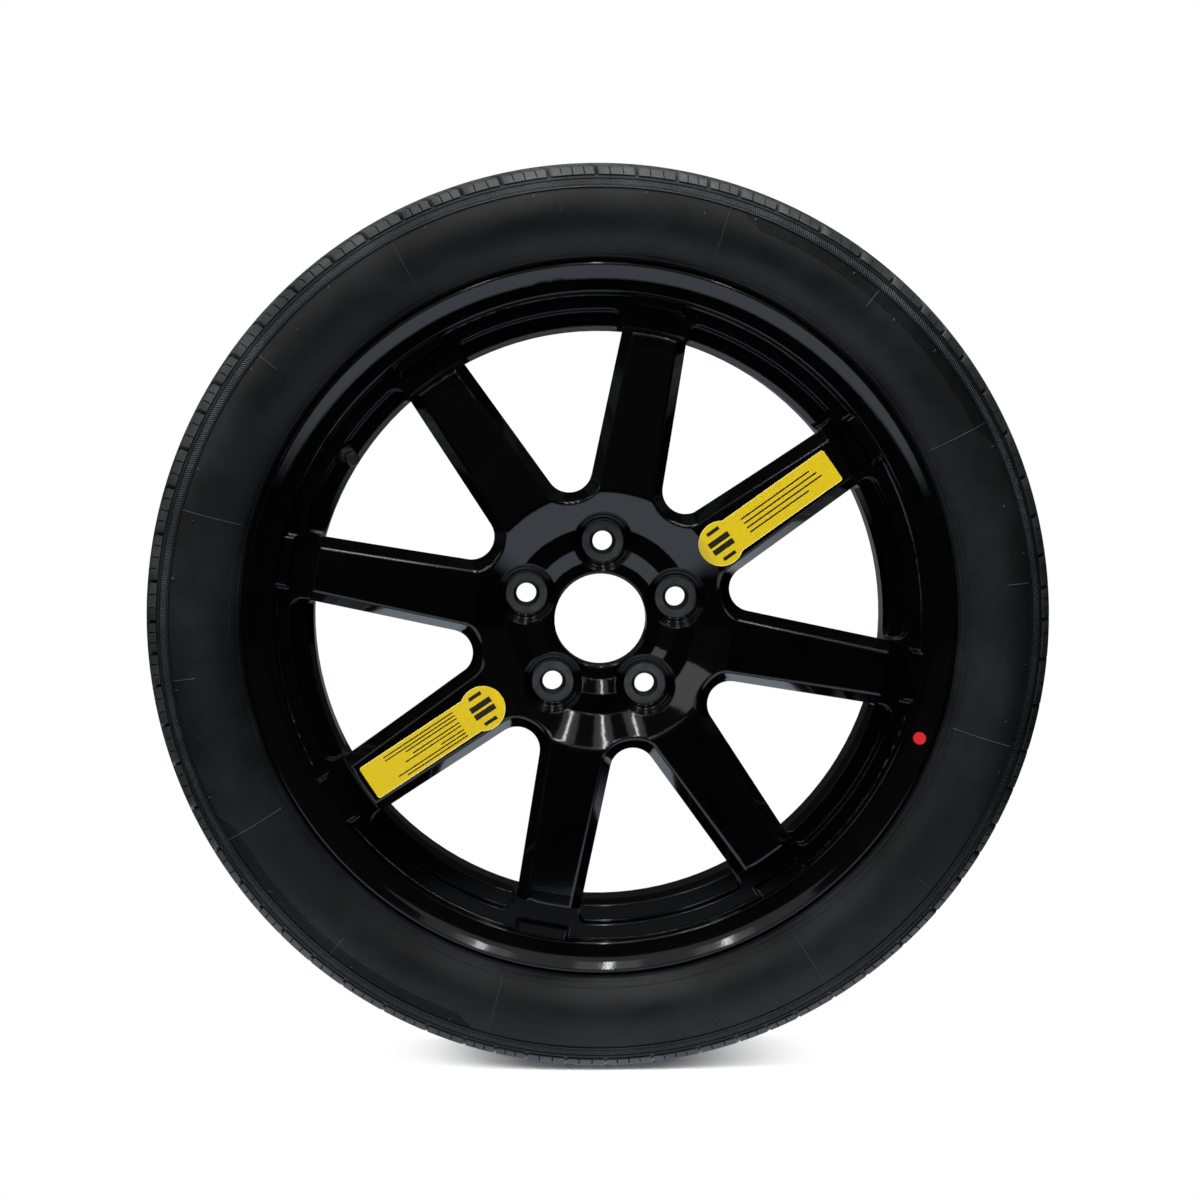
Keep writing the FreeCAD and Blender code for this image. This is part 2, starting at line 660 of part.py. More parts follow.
def shoulder_slot():
    """One slanted slot across the outer shoulder, at +X."""
    floor_in = TYRE_R - TREAD_DROP * (SLOT_INNER_AT / TREAD_HALF_W) ** 2 - SLOT_DEPTH
    top = TYRE_R + SLOT_OVERRUN
    end_h = BLOCK_FOOT_AT + SLOT_OVERRUN
    fall = (floor_in - BLOCK_FOOT_R) / (BLOCK_FOOT_AT - SLOT_INNER_AT)
    points = [
        FreeCAD.Vector(floor_in, -SLOT_INNER_AT, -SLOT_W / 2),
        FreeCAD.Vector(top, -SLOT_INNER_AT, -SLOT_W / 2),
        FreeCAD.Vector(top, -end_h, -SLOT_W / 2),
        FreeCAD.Vector(BLOCK_FOOT_R - fall * SLOT_OVERRUN, -end_h, -SLOT_W / 2),
    ]
    side = Part.Face(Part.makePolygon(points + points[:1]))
    slot = side.extrude(FreeCAD.Vector(0, 0, SLOT_W))
    middle = FreeCAD.Vector(BLOCK_FOOT_R, -BLOCK_FOOT_AT, 0)
    slot.rotate(middle, FreeCAD.Vector(1, 0, 0), SLOT_SKEW)
    slot.rotate(middle, WHEEL_AXIS, SLOT_SLANT)
    return slot


def tyre():
    front = tyre_outer() + tyre_inner()
    back = [(radius, -h, rounding) for radius, h, rounding in reversed(front)]
    body = wheel_turned(front + back)
    slot = shoulder_slot()
    far_slot = slot.mirror(ORIGIN, WHEEL_AXIS)
    slots = [at_angle(shape, angle) for angle in slot_angles() for shape in (slot, far_slot)]
    body = body.cut(slots)
    floor = Part.makeBox(TYRE_R, 2 * TYRE_R, SLOT_OVERRUN)
    floor.translate(FreeCAD.Vector(-TYRE_R / 2, -TYRE_R, STANDING_FLAT - TYRE_R - SLOT_OVERRUN))
    return body.cut(floor)


def valve_body():
    """Rubber body: sealing head inside the wheel, neck in the hole, bulge and taper outside."""
    inner_r = STEM_TUBE_R + BOND_GAP
    bulge_at = VALVE_WALL + RUBBER_FIT
    return local_turned([
        (inner_r, -VALVE_HEAD_LEN, 0),
        (VALVE_HEAD_R - VALVE_HEAD_TAPER, -VALVE_HEAD_LEN, VALVE_HEAD_ROUND),
        (VALVE_HEAD_R, -VALVE_HEAD_LEN / 2, VALVE_HEAD_ROUND),
        (VALVE_HEAD_R, -RUBBER_FIT, RUBBER_EDGE),
        (VALVE_HOLE_R - RUBBER_FIT, -RUBBER_FIT, 0),
        (VALVE_HOLE_R - RUBBER_FIT, bulge_at, 0),
        (VALVE_BULGE_R, bulge_at, RUBBER_EDGE),
        (VALVE_BULGE_R, bulge_at + VALVE_BULGE_LEN, VALVE_BULGE_ROUND),
        (VALVE_NECK_R, bulge_at + 2 * VALVE_BULGE_LEN, VALVE_NECK_ROUND),
        (RUBBER_END_R, RUBBER_END, RUBBER_EDGE),
        (inner_r, RUBBER_END, 0),
    ])


def valve_stem():
    """Brass tube with the outer thread's land at its end and the core's seat in its mouth."""
    core_bore = CORE_R + CORE_FIT
    return local_turned([
        (STEM_AIR_R, STEM_START, 0),
        (STEM_TUBE_R, STEM_START, 0),
        (STEM_TUBE_R, RUBBER_END, 0),
        (STEM_THREAD_R, RUBBER_END + STEM_SHOULDER, 0),
        (STEM_THREAD_R, STEM_END - STEM_CHAMFER, 0),
        (STEM_THREAD_R - STEM_CHAMFER, STEM_END, 0),
        (core_bore, STEM_END, 0),
        (core_bore, CORE_BOTTOM, 0),
        (STEM_AIR_R, CORE_BOTTOM - STEM_SEAT, 0),
    ])


def core_barrel():
    """Sleeve of the valve core, with a waist for its gasket and a well for its spring."""
    pin_bore = PIN_R + PIN_FIT
    return local_turned([
        (pin_bore, CORE_BOTTOM, 0),
        (CORE_R - CORE_FIT, CORE_BOTTOM, 0),
        (CORE_R - CORE_FIT, CORE_WAIST_FROM, 0),
        (CORE_WAIST_R, CORE_WAIST_FROM, 0),
        (CORE_WAIST_R, CORE_WAIST_TO, 0),
        (CORE_R, CORE_WAIST_TO, 0),
        (CORE_R, CORE_TOP, 0),
        (CORE_SPRING_R, CORE_TOP, 0),
        (CORE_SPRING_R, CORE_SPRING_FLOOR, 0),
        (pin_bore, CORE_SPRING_FLOOR, 0),
    ])


def core_gasket():
    return local_turned([
        (CORE_WAIST_R + BOND_GAP, CORE_WAIST_FROM + BOND_GAP, 0),
        (CORE_R, CORE_WAIST_FROM + BOND_GAP, CORE_EDGE),
        (CORE_R, CORE_WAIST_TO - BOND_GAP, CORE_EDGE),
        (CORE_WAIST_R + BOND_GAP, CORE_WAIST_TO - BOND_GAP, 0),
    ])


def core_pin():
    """Pin with a head over the spring and a tail that carries the poppet seal."""
    head_from = CORE_TOP - PIN_HEAD_LEN
    tail_from = CORE_BOTTOM - POPPET_GAP - POPPET_LEN - PIN_TAIL
    return local_turned([
        (0, tail_from, 0),
        (PIN_R, tail_from, CORE_EDGE),
        (PIN_R, head_from, 0),
        (PIN_HEAD_R, head_from, 0),
        (PIN_HEAD_R, CORE_TOP, 0),
        (PIN_R, CORE_TOP, 0),
        (PIN_R, CORE_TOP + PIN_PROUD, 0),
        (0, CORE_TOP + PIN_PROUD, 0),
    ])


def core_seal():
    top = CORE_BOTTOM - POPPET_GAP
    return local_turned([
        (PIN_R + BOND_GAP, top - POPPET_LEN, 0),
        (POPPET_R - POPPET_TAPER, top - POPPET_LEN, 0),
        (POPPET_R, top - POPPET_LEN / 2, 0),
        (POPPET_R, top, 0),
        (PIN_R + BOND_GAP, top, 0),
    ])


def core_spring():
    """Coil between the barrel's spring floor and the pin's head."""
    first = CORE_SPRING_FLOOR + SPRING_WIRE_R + SPRING_END_GAP
    last = CORE_TOP - PIN_HEAD_LEN - SPRING_WIRE_R - SPRING_END_GAP
    coil_r = (PIN_R + CORE_SPRING_R) / 2
    path = Part.makeHelix((last - first) / SPRING_TURNS, last - first, coil_r)
    path.translate(LOCAL_AXIS * first)
    start = FreeCAD.Vector(coil_r, 0, first)
    section = Part.Wire([Part.makeCircle(SPRING_WIRE_R, start, FreeCAD.Vector(0, 1, 0))])
    return Part.Wire(path.Edges).makePipeShell([section], True, True)


def valve_cap():
    """Screw cap with a domed end and grip flutes, over the stem's thread."""
    inner_r = STEM_THREAD_R + CAP_WALL_FIT
    inside = STEM_END + CAP_SEAL_GAP + CAP_SEAL_T + BOND_GAP
    end = inside + CAP_TOP_T
    cap = local_turned([
        (0, inside, 0),
        (inner_r, inside, 0),
        (inner_r, CAP_BOTTOM, 0),
        (CAP_R, CAP_BOTTOM, CAP_EDGE),
        (CAP_R, end, CAP_DOME),
        (0, end, 0),
    ])
    flute_from = CAP_BOTTOM - OVERRUN
    flute_len = end - CAP_FLUTE_RUNOUT - flute_from
    flute = Part.makeCylinder(CAP_FLUTE_R, flute_len, local_point(CAP_R + CAP_FLUTE_OUT, flute_from))
    flutes = []
    for index in range(CAP_FLUTES):
        turned = flute.copy()
        turned.rotate(ORIGIN, LOCAL_AXIS, 360.0 * index / CAP_FLUTES)
        flutes.append(turned)
    return cap.cut(flutes)


def valve_cap_seal():
    low = STEM_END + CAP_SEAL_GAP
    return Part.makeCylinder(CAP_SEAL_R, CAP_SEAL_T, LOCAL_AXIS * low)


def sticker_layer(lift):
    """Hub and spoke front raised by a lift, as a solid with a flat back behind it."""
    lean = math.atan2(SPOKE_FRONT - LUG_RING, DISH_R - LUG_RING_OUT_R)
    dish_corner = DISH_R - lift * math.tan(lean / 2)
    low_r = LUG_RING_OUT_R + LABEL_CORNER
    low_h = SPOKE_FRONT + lift - (dish_corner - low_r) * math.tan(lean)
    return wheel_turned([
        (low_r, MOUNT_FACE, 0),
        (low_r, low_h, 0),
        (dish_corner, SPOKE_FRONT + lift, DISH_ROUND + lift),
        (SPOKE_TIP_R, SPOKE_FRONT + lift, 0),
        (SPOKE_TIP_R, MOUNT_FACE, 0),
    ])


def label(spoke, begin, aside, turn):
    """Sticker with a round head near the hub, laid over the spoke and the dish's edge."""
    head_at = begin + LABEL_HEAD_R
    tab_end = begin + LABEL_LENGTH
    height = SPOKE_FRONT + OVERRUN
    tab_wire = rounded_wire([
        (FreeCAD.Vector(head_at, 0, -LABEL_HALF_W), 0),
        (FreeCAD.Vector(tab_end, 0, -LABEL_HALF_W), LABEL_CORNER),
        (FreeCAD.Vector(tab_end, 0, LABEL_HALF_W), LABEL_CORNER),
        (FreeCAD.Vector(head_at, 0, LABEL_HALF_W), 0),
    ])
    tab = Part.Face(tab_wire).extrude(FreeCAD.Vector(0, -height, 0))
    head = Part.makeCylinder(LABEL_HEAD_R, height, wheel_point(head_at, 0), -WHEEL_AXIS)
    outline = head.fuse(tab).removeSplitter()
    outline.rotate(wheel_point(head_at, 0), WHEEL_AXIS, -turn)
    outline.translate(FreeCAD.Vector(0, 0, aside))
    sheet = outline.common(sticker_layer(BOND_GAP + STICKER_T)).cut(sticker_layer(BOND_GAP))
    return at_angle(sheet, FIRST_SPOKE + SPOKE_PITCH * spoke)


def lip_layer(lift):
    """The lip's concave band raised by a lift, as a solid with a flat back behind it."""
    rise = math.atan2(LIP - LEDGE, FLANGE_R - LIP_LAND - LIP_FLOOR_R)
    floor_corner = LIP_FLOOR_R - lift * math.tan(rise / 2)
    high_r = FLANGE_R - LIP_LAND
    high_h = LEDGE + lift + (high_r - floor_corner) * math.tan(rise)
    return wheel_turned([
        (LEDGE_R, SPOKE_BACK, 0),
        (high_r, SPOKE_BACK, 0),
        (high_r, high_h, 0),
        (floor_corner, LEDGE + lift, LIP_CURVE - lift),
        (LEDGE_R, LEDGE + lift, 0),
    ])


def match_dot():
    """Round mark on the lip's concave band."""
    outline = Part.makeCylinder(DOT_R, SPOKE_FRONT, wheel_point(DOT_AT, 0), -WHEEL_AXIS)
    dot = outline.common(lip_layer(BOND_GAP + STICKER_T)).cut(lip_layer(BOND_GAP))
    return at_angle(dot, DOT_ANGLE)


def export(node, shape):
    solids = shape.Solids
    if len(solids) != 1 or not shape.isValid():
        raise ValueError(f"{node} has {len(solids)} solids, valid {shape.isValid()}")
    solids[0].exportStep(f"parts/{node}.step")


def main():
    os.makedirs("parts", exist_ok=True)
    export("rim", rim())
    export("tyre", tyre())
    for index, seat in enumerate(around(lug_seat(), LUG_COUNT, FIRST_LUG)):
        export(f"lug_seat_{index + 1}", seat)
    valve_pieces = {
        "valve_body": valve_body(),
        "valve_stem": valve_stem(),
        "valve_core_barrel": core_barrel(),
        "valve_core_gasket": core_gasket(),
        "valve_core_pin": core_pin(),
        "valve_core_seal": core_seal(),
        "valve_core_spring": core_spring(),
        "valve_cap": valve_cap(),
        "valve_cap_seal": valve_cap_seal(),
    }
    for node, shape in valve_pieces.items():
        export(node, placed(shape, valve_placement()))
    for node, (spoke, begin, aside, turn) in LABELS.items():
        export(node, label(spoke, begin, aside, turn))
    export("match_dot", match_dot())


main()
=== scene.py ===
import json
import math

import bmesh
import bpy
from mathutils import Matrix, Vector


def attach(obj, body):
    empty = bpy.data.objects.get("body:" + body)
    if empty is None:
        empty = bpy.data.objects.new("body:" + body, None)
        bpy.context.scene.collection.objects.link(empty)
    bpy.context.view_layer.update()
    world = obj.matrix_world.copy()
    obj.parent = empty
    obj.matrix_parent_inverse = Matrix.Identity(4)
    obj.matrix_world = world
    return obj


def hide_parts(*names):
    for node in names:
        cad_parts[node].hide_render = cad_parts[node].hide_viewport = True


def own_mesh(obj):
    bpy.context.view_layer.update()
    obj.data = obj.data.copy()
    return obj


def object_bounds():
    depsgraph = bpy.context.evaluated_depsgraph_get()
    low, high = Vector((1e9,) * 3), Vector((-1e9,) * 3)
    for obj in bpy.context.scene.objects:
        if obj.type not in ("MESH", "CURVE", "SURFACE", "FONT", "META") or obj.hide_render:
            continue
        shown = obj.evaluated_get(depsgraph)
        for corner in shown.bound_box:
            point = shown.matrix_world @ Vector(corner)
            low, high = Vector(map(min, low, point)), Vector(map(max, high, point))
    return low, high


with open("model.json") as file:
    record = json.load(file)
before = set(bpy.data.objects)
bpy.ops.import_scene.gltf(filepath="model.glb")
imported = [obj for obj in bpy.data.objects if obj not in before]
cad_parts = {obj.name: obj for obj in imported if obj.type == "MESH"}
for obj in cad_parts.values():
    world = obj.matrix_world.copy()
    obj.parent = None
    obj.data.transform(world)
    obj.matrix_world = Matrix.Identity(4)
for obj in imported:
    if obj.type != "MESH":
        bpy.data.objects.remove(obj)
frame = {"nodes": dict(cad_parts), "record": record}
cad_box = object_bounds()

MM = 0.001
MERGE_GAP = 1e-7

# Tyre sizes in millimetres: radius from the wheel's axis, h from its middle plane outwards
TYRE_R = 333.0
FLOOR_DROP = 331.0
TREAD_EDGE = (328.0, 56.5)
TREAD_EDGE_ROUND = 5.0
TREAD_DROP = 5.0
RIB_EDGE = 0.4
BLOCK_FOOT = (321.4, 65.0)
BLOCK_LIP = (322.05, 66.3)
BLOCK_EDGE = 0.45
BLOCK_SINK = 0.3
SIDE_CORNER = (292.5, 85.5)
SIDE_ROUND = 36.0
SLOT_INNER_H = 36.0
SLOT_FLOOR_R = 325.47
SLOT_HALF_W = 1.39
SLOT_SKEW = math.tan(math.radians(14.0))
SLOT_SLANT = math.tan(math.radians(16.0))
SIPE_DEPTH = 2.2
SIPE_W = 0.95
PITCHES = (4.15, 4.15, 5.2, 5.2, 6.15, 6.15, 5.2)
LONG_PITCH = 6.0
SECTORS = 10
TURN_STEPS = 480

# Wheel face sizes in millimetres
FACE_H = 77.0
DISH_R = 93.0
DISH_ROUND = 9.0
DISH_LEAN = math.atan2(15.0, 24.4)
FIRST_SPOKE = 34.4
SPOKE_PITCH = 45.0


def wheel_point(radius, h, angle):
    """Point in metres from a radius, a height and an angle in degrees from +X towards +Z."""
    turn = math.radians(angle)
    return Vector((radius * math.cos(turn), -h, radius * math.sin(turn))) * MM


def rounded_line(corners, steps):
    """Points along (radius, h, rounding) corners, each rounded corner as an arc of some steps."""
    line = [Vector(corners[0][:2])]
    for before, corner, after in zip(corners, corners[1:], corners[2:]):
        at = Vector(corner[:2])
        if not corner[2]:
            line.append(at)
            continue
        back = (Vector(before[:2]) - at).normalized()
        ahead = (Vector(after[:2]) - at).normalized()
        half = back.angle(ahead) / 2
        centre = at + (back + ahead).normalized() * (corner[2] / math.sin(half))
        start = at + back * (corner[2] / math.tan(half)) - centre
        end = at + ahead * (corner[2] / math.tan(half)) - centre
        first = math.atan2(start.y, start.x)
        swing = (math.atan2(end.y, end.x) - first + math.pi) % (2 * math.pi) - math.pi
        for step in range(steps + 1):
            angle = first + swing * step / steps
            line.append(centre + Vector((math.cos(angle), math.sin(angle))) * corner[2])
    line.append(Vector(corners[-1][:2]))
    return line


def mesh_of(name, points, faces):
    """Mesh from points and faces, with its doubles merged and its faces turned outwards."""
    mesh = bpy.data.meshes.new(name)
    mesh.from_pydata(points, [], faces)
    work = bmesh.new()
    work.from_mesh(mesh)
    bmesh.ops.remove_doubles(work, verts=work.verts, dist=MERGE_GAP)
    bmesh.ops.recalc_face_normals(work, faces=work.faces)
    work.to_mesh(mesh)
    work.free()
    return mesh


def shown(name, mesh, finish, crease=35.0):
    """Object for a finished mesh, smooth but for edges sharper than the crease."""
    if not mesh.materials:
        mesh.materials.append(finish)
    mesh.shade_smooth()
    mesh.set_sharp_from_angle(angle=math.radians(crease))
    piece = bpy.data.objects.new(name, mesh)
    bpy.context.scene.collection.objects.link(piece)
    return piece


def on_floor(mesh):
    """Press what would reach below the floor flat against it, as the standing tyre does."""
    for vertex in mesh.vertices:
        vertex.co.z = max(vertex.co.z, -FLOOR_DROP * MM)


def turned(lines):
    """Points and faces of closed (radius, h) outlines turned about the wheel's axis."""
    points, faces = [], []
    for line in lines:
        count, base = len(line), len(points)
        for step in range(TURN_STEPS):
            points += [wheel_point(r, h, 360.0 * step / TURN_STEPS) for r, h in line]
        for step in range(TURN_STEPS):
            here = base + step * count
            there = base + (step + 1) % TURN_STEPS * count
            for index in range(count):
                after = (index + 1) % count
                faces.append((here + index, here + after, there + after, there + index))
    return points, faces


def tube_faces(steps, sides):
    """Faces of a closed tube whose points come ring by ring."""
    faces = []
    for step in range(steps):
        here, there = step * sides, (step + 1) * sides
        for side in range(sides):
            after = (side + 1) % sides
            faces.append((here + side, here + after, there + after, there + side))
    faces.append(list(range(sides)))
    faces.append([steps * sides + side for side in range(sides)])
    return faces


# Finishes

NOISE_LOW = 0.3
NOISE_MIDDLE = 0.5
NOISE_HIGH = 0.7

# Rim paint: its flat pocket floors and webs lie in a ring about the axis, in metres, and face -Y; there
# its reflection is turned down, as painted shade
PAINT_EDGE = 0.0018
FLATS_R = 0.22
FLATS_HALF_W = 0.0195
FLATS_FACING = (-0.97, -0.995)
PAINT_SHINE = 0.5
FLATS_PAINTED_DARK_SHINE = 0.08

RUBBER_SHADES = ((NOISE_LOW, 0.0035), (NOISE_MIDDLE, 0.008), (NOISE_HIGH, 0.0155))
RUBBER_TINT = (1.0, 1.05, 1.14)


def new_finish(name):
    """A new material with its node tree and its shader."""
    material = bpy.data.materials.new(name)
    material.use_nodes = True
    tree = material.node_tree
    shader = tree.nodes["Principled BSDF"]
    return material, tree, shader


def node(tree, kind, **values):
    """A new node, with each value set as its property or else as its input."""
    made = tree.nodes.new(kind)
    for key, value in values.items():
        if hasattr(made, key):
            setattr(made, key, value)
        else:
            made.inputs[key.replace("_", " ")].default_value = value
    return made


def object_noise(tree, scale, detail=4.0, roughness=0.55):
    """Noise on the piece's own coordinates, so that it stays on the surface."""
    place = node(tree, "ShaderNodeTexCoord")
    noise = node(tree, "ShaderNodeTexNoise", Scale=scale, Detail=detail, Roughness=roughness)
    tree.links.new(place.outputs["Object"], noise.inputs["Vector"])
    return noise.outputs["Fac"]


def reach(tree, weights):
    """Length of the piece's own coordinates, each taken with its weight."""
    place = node(tree, "ShaderNodeTexCoord")
    weighted = node(tree, "ShaderNodeVectorMath", operation="MULTIPLY")
    weighted.inputs[1].default_value = weights
    tree.links.new(place.outputs["Object"], weighted.inputs[0])
    length = node(tree, "ShaderNodeVectorMath", operation="LENGTH")
    tree.links.new(weighted.outputs["Vector"], length.inputs[0])
    return length.outputs["Value"]


def spread(tree, source, start, end, low=0.0, high=1.0, smooth=False):
    """A source's span from start to end, mapped to the span from low to high."""
    made = node(tree, "ShaderNodeMapRange")
    if smooth:
        made.interpolation_type = "SMOOTHSTEP"
    made.inputs["From Min"].default_value = start
    made.inputs["From Max"].default_value = end
    made.inputs["To Min"].default_value = low
    made.inputs["To Max"].default_value = high
    tree.links.new(source, made.inputs["Value"])
    return made.outputs["Result"]


def product(tree, first, second):
    """Product of two values."""
    made = node(tree, "ShaderNodeMath", operation="MULTIPLY")
    tree.links.new(first, made.inputs[0])
    tree.links.new(second, made.inputs[1])
    return made.outputs["Value"]


def mixed(tree, share, first, second):
    """Mix of two shaders, with the share of the second."""
    made = tree.nodes.new("ShaderNodeMixShader")
    tree.links.new(share, made.inputs["Fac"])
    tree.links.new(first, made.inputs[1])
    tree.links.new(second, made.inputs[2])
    return made.outputs["Shader"]


def mottled(tree, shader, noise, stops):
    """Base colour that wanders with a noise through (position, colour) stops."""
    made = node(tree, "ShaderNodeValToRGB")
    made.color_ramp.elements[0].position = stops[0][0]
    made.color_ramp.elements[0].color = (*stops[0][1], 1)
    made.color_ramp.elements[1].position = stops[-1][0]
    made.color_ramp.elements[1].color = (*stops[-1][1], 1)
    for position, colour in stops[1:-1]:
        made.color_ramp.elements.new(position).color = (*colour, 1)
    tree.links.new(noise, made.inputs["Fac"])
    tree.links.new(made.outputs["Color"], shader.inputs["Base Color"])


def two_tone(tree, shader, noise, low, high):
    """Base colour that wanders with a noise from a low to a high shade."""
    mottled(tree, shader, noise, [(NOISE_LOW, low), (NOISE_HIGH, high)])


def roughened(tree, shader, noise, low, high):
    """Roughness that wanders with a noise from low to high."""
    rough = spread(tree, noise, NOISE_LOW, NOISE_HIGH, low, high)
    tree.links.new(rough, shader.inputs["Roughness"])


def bumped(tree, shader, height, strength, distance, under=None):
    """Fine bumps from a height, over the shader's own normal or another one."""
    bump = node(tree, "ShaderNodeBump", Strength=strength, Distance=distance)
    tree.links.new(height, bump.inputs["Height"])
    if under:
        tree.links.new(under, bump.inputs["Normal"])
    tree.links.new(bump.outputs["Normal"], shader.inputs["Normal"])


def scaled(shade, share):
    """A colour times a share."""
    return tuple(value * share for value in shade)


def gloss_black_paint():
    """Gloss black rim paint: a faint orange peel, softened edges, and painted shade that turns the
    reflection down on its flats.
    """
    material, tree, shader = new_finish("gloss_black_paint")
    mottle = object_noise(tree, 60.0)
    two_tone(tree, shader, mottle, (0.0008, 0.0008, 0.0009), (0.0014, 0.0014, 0.0016))
    roughened(tree, shader, object_noise(tree, 14.0), 0.04, 0.075)
    shader.inputs["IOR"].default_value = 1.52
    edge = node(tree, "ShaderNodeBevel", samples=6, Radius=PAINT_EDGE)
    peel = object_noise(tree, 420.0, 2.0)
    bumped(tree, shader, peel, 0.05, 0.0002, edge.outputs["Normal"])

    # Painted shade: the reflection is turned down on flats that face -Y within the ring.
    ring = node(tree, "ShaderNodeMath", operation="COMPARE")
    ring.inputs[1].default_value = FLATS_R
    ring.inputs[2].default_value = FLATS_HALF_W
    tree.links.new(reach(tree, (1.0, 0.0, 1.0)), ring.inputs[0])
    facing = node(tree, "ShaderNodeSeparateXYZ")
    tree.links.new(edge.outputs["Normal"], facing.inputs["Vector"])
    flat = spread(tree, facing.outputs["Y"], *FLATS_FACING)
    painted_dark_flats = product(tree, ring.outputs["Value"], flat)
    shine = spread(tree, painted_dark_flats, 0.0, 1.0, PAINT_SHINE, FLATS_PAINTED_DARK_SHINE)
    tree.links.new(shine, shader.inputs["Specular IOR Level"])
    return material


def tyre_rubber(name, share):
    """Vulcanised rubber: charcoal, satin, mottled, with a fine mould grain, its shade scaled by a share
    for lighter copies as painted highlight and darker ones as painted shade.
    """
    material, tree, shader = new_finish(name)
    stops = []
    for position, shade in RUBBER_SHADES:
        stops.append((position, scaled(RUBBER_TINT, shade * share)))
    mottled(tree, shader, object_noise(tree, 16.0, 8.0, 0.68), stops)
    roughened(tree, shader, object_noise(tree, 11.0, 7.0, 0.65), 0.38, 0.64)
    shader.inputs["Specular IOR Level"].default_value = 0.32
    bumped(tree, shader, object_noise(tree, 1100.0, 3.0), 0.22, 0.0004)
    return material


def plain_rubber(name, shade, roughness):
    """Rubber or plastic of one shade, with a fine grain."""
    material, tree, shader = new_finish(name)
    two_tone(tree, shader, object_noise(tree, 180.0), scaled(shade, 0.8), scaled(shade, 1.2))
    shader.inputs["Roughness"].default_value = roughness
    bumped(tree, shader, object_noise(tree, 2500.0, 2.0), 0.15, 0.0002)
    return material


def worked_metal(name, shade, roughness, ring_scale):
    """Turned metal with fine tool marks and a little tarnish."""
    material, tree, shader = new_finish(name)
    shader.inputs["Metallic"].default_value = 1.0
    mottle = object_noise(tree, 140.0)
    two_tone(tree, shader, mottle, scaled(shade, 0.75), shade)
    roughened(tree, shader, mottle, roughness - 0.06, roughness + 0.06)
    bumped(tree, shader, object_noise(tree, ring_scale, 2.0), 0.2, 0.0002)
    return material


def label_film():
    """Yellow vinyl film with a faint grain."""
    material, tree, shader = new_finish("label_film")
    mottle = object_noise(tree, 260.0)
    two_tone(tree, shader, mottle, (0.61, 0.445, 0.0025), (0.65, 0.475, 0.0032))
    shader.inputs["Roughness"].default_value = 0.42
    bumped(tree, shader, object_noise(tree, 1800.0, 2.0), 0.06, 0.0002)
    return material


def plain_paint(name, low, high, roughness):
    """Smooth paint or ink between two close shades."""
    material, tree, shader = new_finish(name)
    two_tone(tree, shader, object_noise(tree, 300.0), low, high)
    shader.inputs["Roughness"].default_value = roughness
    return material


rim_paint = gloss_black_paint()
rubber = tyre_rubber("tyre_rubber", 0.68)
# Lighter copy of the same rubber for the tread, a painted highlight.
tread_rubber_painted_highlight = tyre_rubber("tyre_tread_rubber_painted_highlight", 2.6)
# Much lighter copy for the sidewall ridges, a painted highlight on the relief.
relief_rubber_painted_highlight = tyre_rubber("tyre_relief_rubber_painted_highlight", 5.2)
# Darker copy for the knurled patches, painted shade between their fine ridges.
knurl_rubber_painted_shade = tyre_rubber("tyre_knurl_rubber_painted_shade", 0.45)
seat_steel = worked_metal("seat_steel", (0.23, 0.225, 0.22), 0.46, 900.0)
valve_brass = worked_metal("valve_brass", (0.72, 0.52, 0.24), 0.3, 1500.0)
spring_wire = worked_metal("spring_wire", (0.5, 0.5, 0.5), 0.3, 2500.0)
valve_rubber = plain_rubber("valve_rubber", (0.012, 0.012, 0.0125), 0.6)
seal_rubber = plain_rubber("seal_rubber", (0.02, 0.02, 0.02), 0.65)
cap_plastic = plain_rubber("cap_plastic", (0.006, 0.006, 0.0065), 0.32)
film = label_film()
film_edge = plain_paint("label_cut_edge", (0.80, 0.66, 0.14), (0.85, 0.72, 0.2), 0.5)
print_ink = plain_paint("label_ink", (0.008, 0.007, 0.004), (0.014, 0.012, 0.006), 0.5)
dot_paint = plain_paint("dot_paint", (0.5, 0.008, 0.011), (0.58, 0.011, 0.015), 0.4)

NODE_FINISHES = {
    "rim": rim_paint,
    "valve_body": valve_rubber,
    "valve_stem": valve_brass,
    "valve_core_barrel": valve_brass,
    "valve_core_gasket": seal_rubber,
    "valve_core_pin": valve_brass,
    "valve_core_seal": seal_rubber,
    "valve_cap": cap_plastic,
    "valve_cap_seal": seal_rubber,
    "match_dot": dot_paint,
}
for number in range(1, 6):
    NODE_FINISHES[f"lug_seat_{number}"] = seat_steel
for name, finish in NODE_FINISHES.items():
    for slot in frame["nodes"][name].material_slots:
        slot.material = finish


# Copies turned about the wheel's axis, as Geometry Nodes


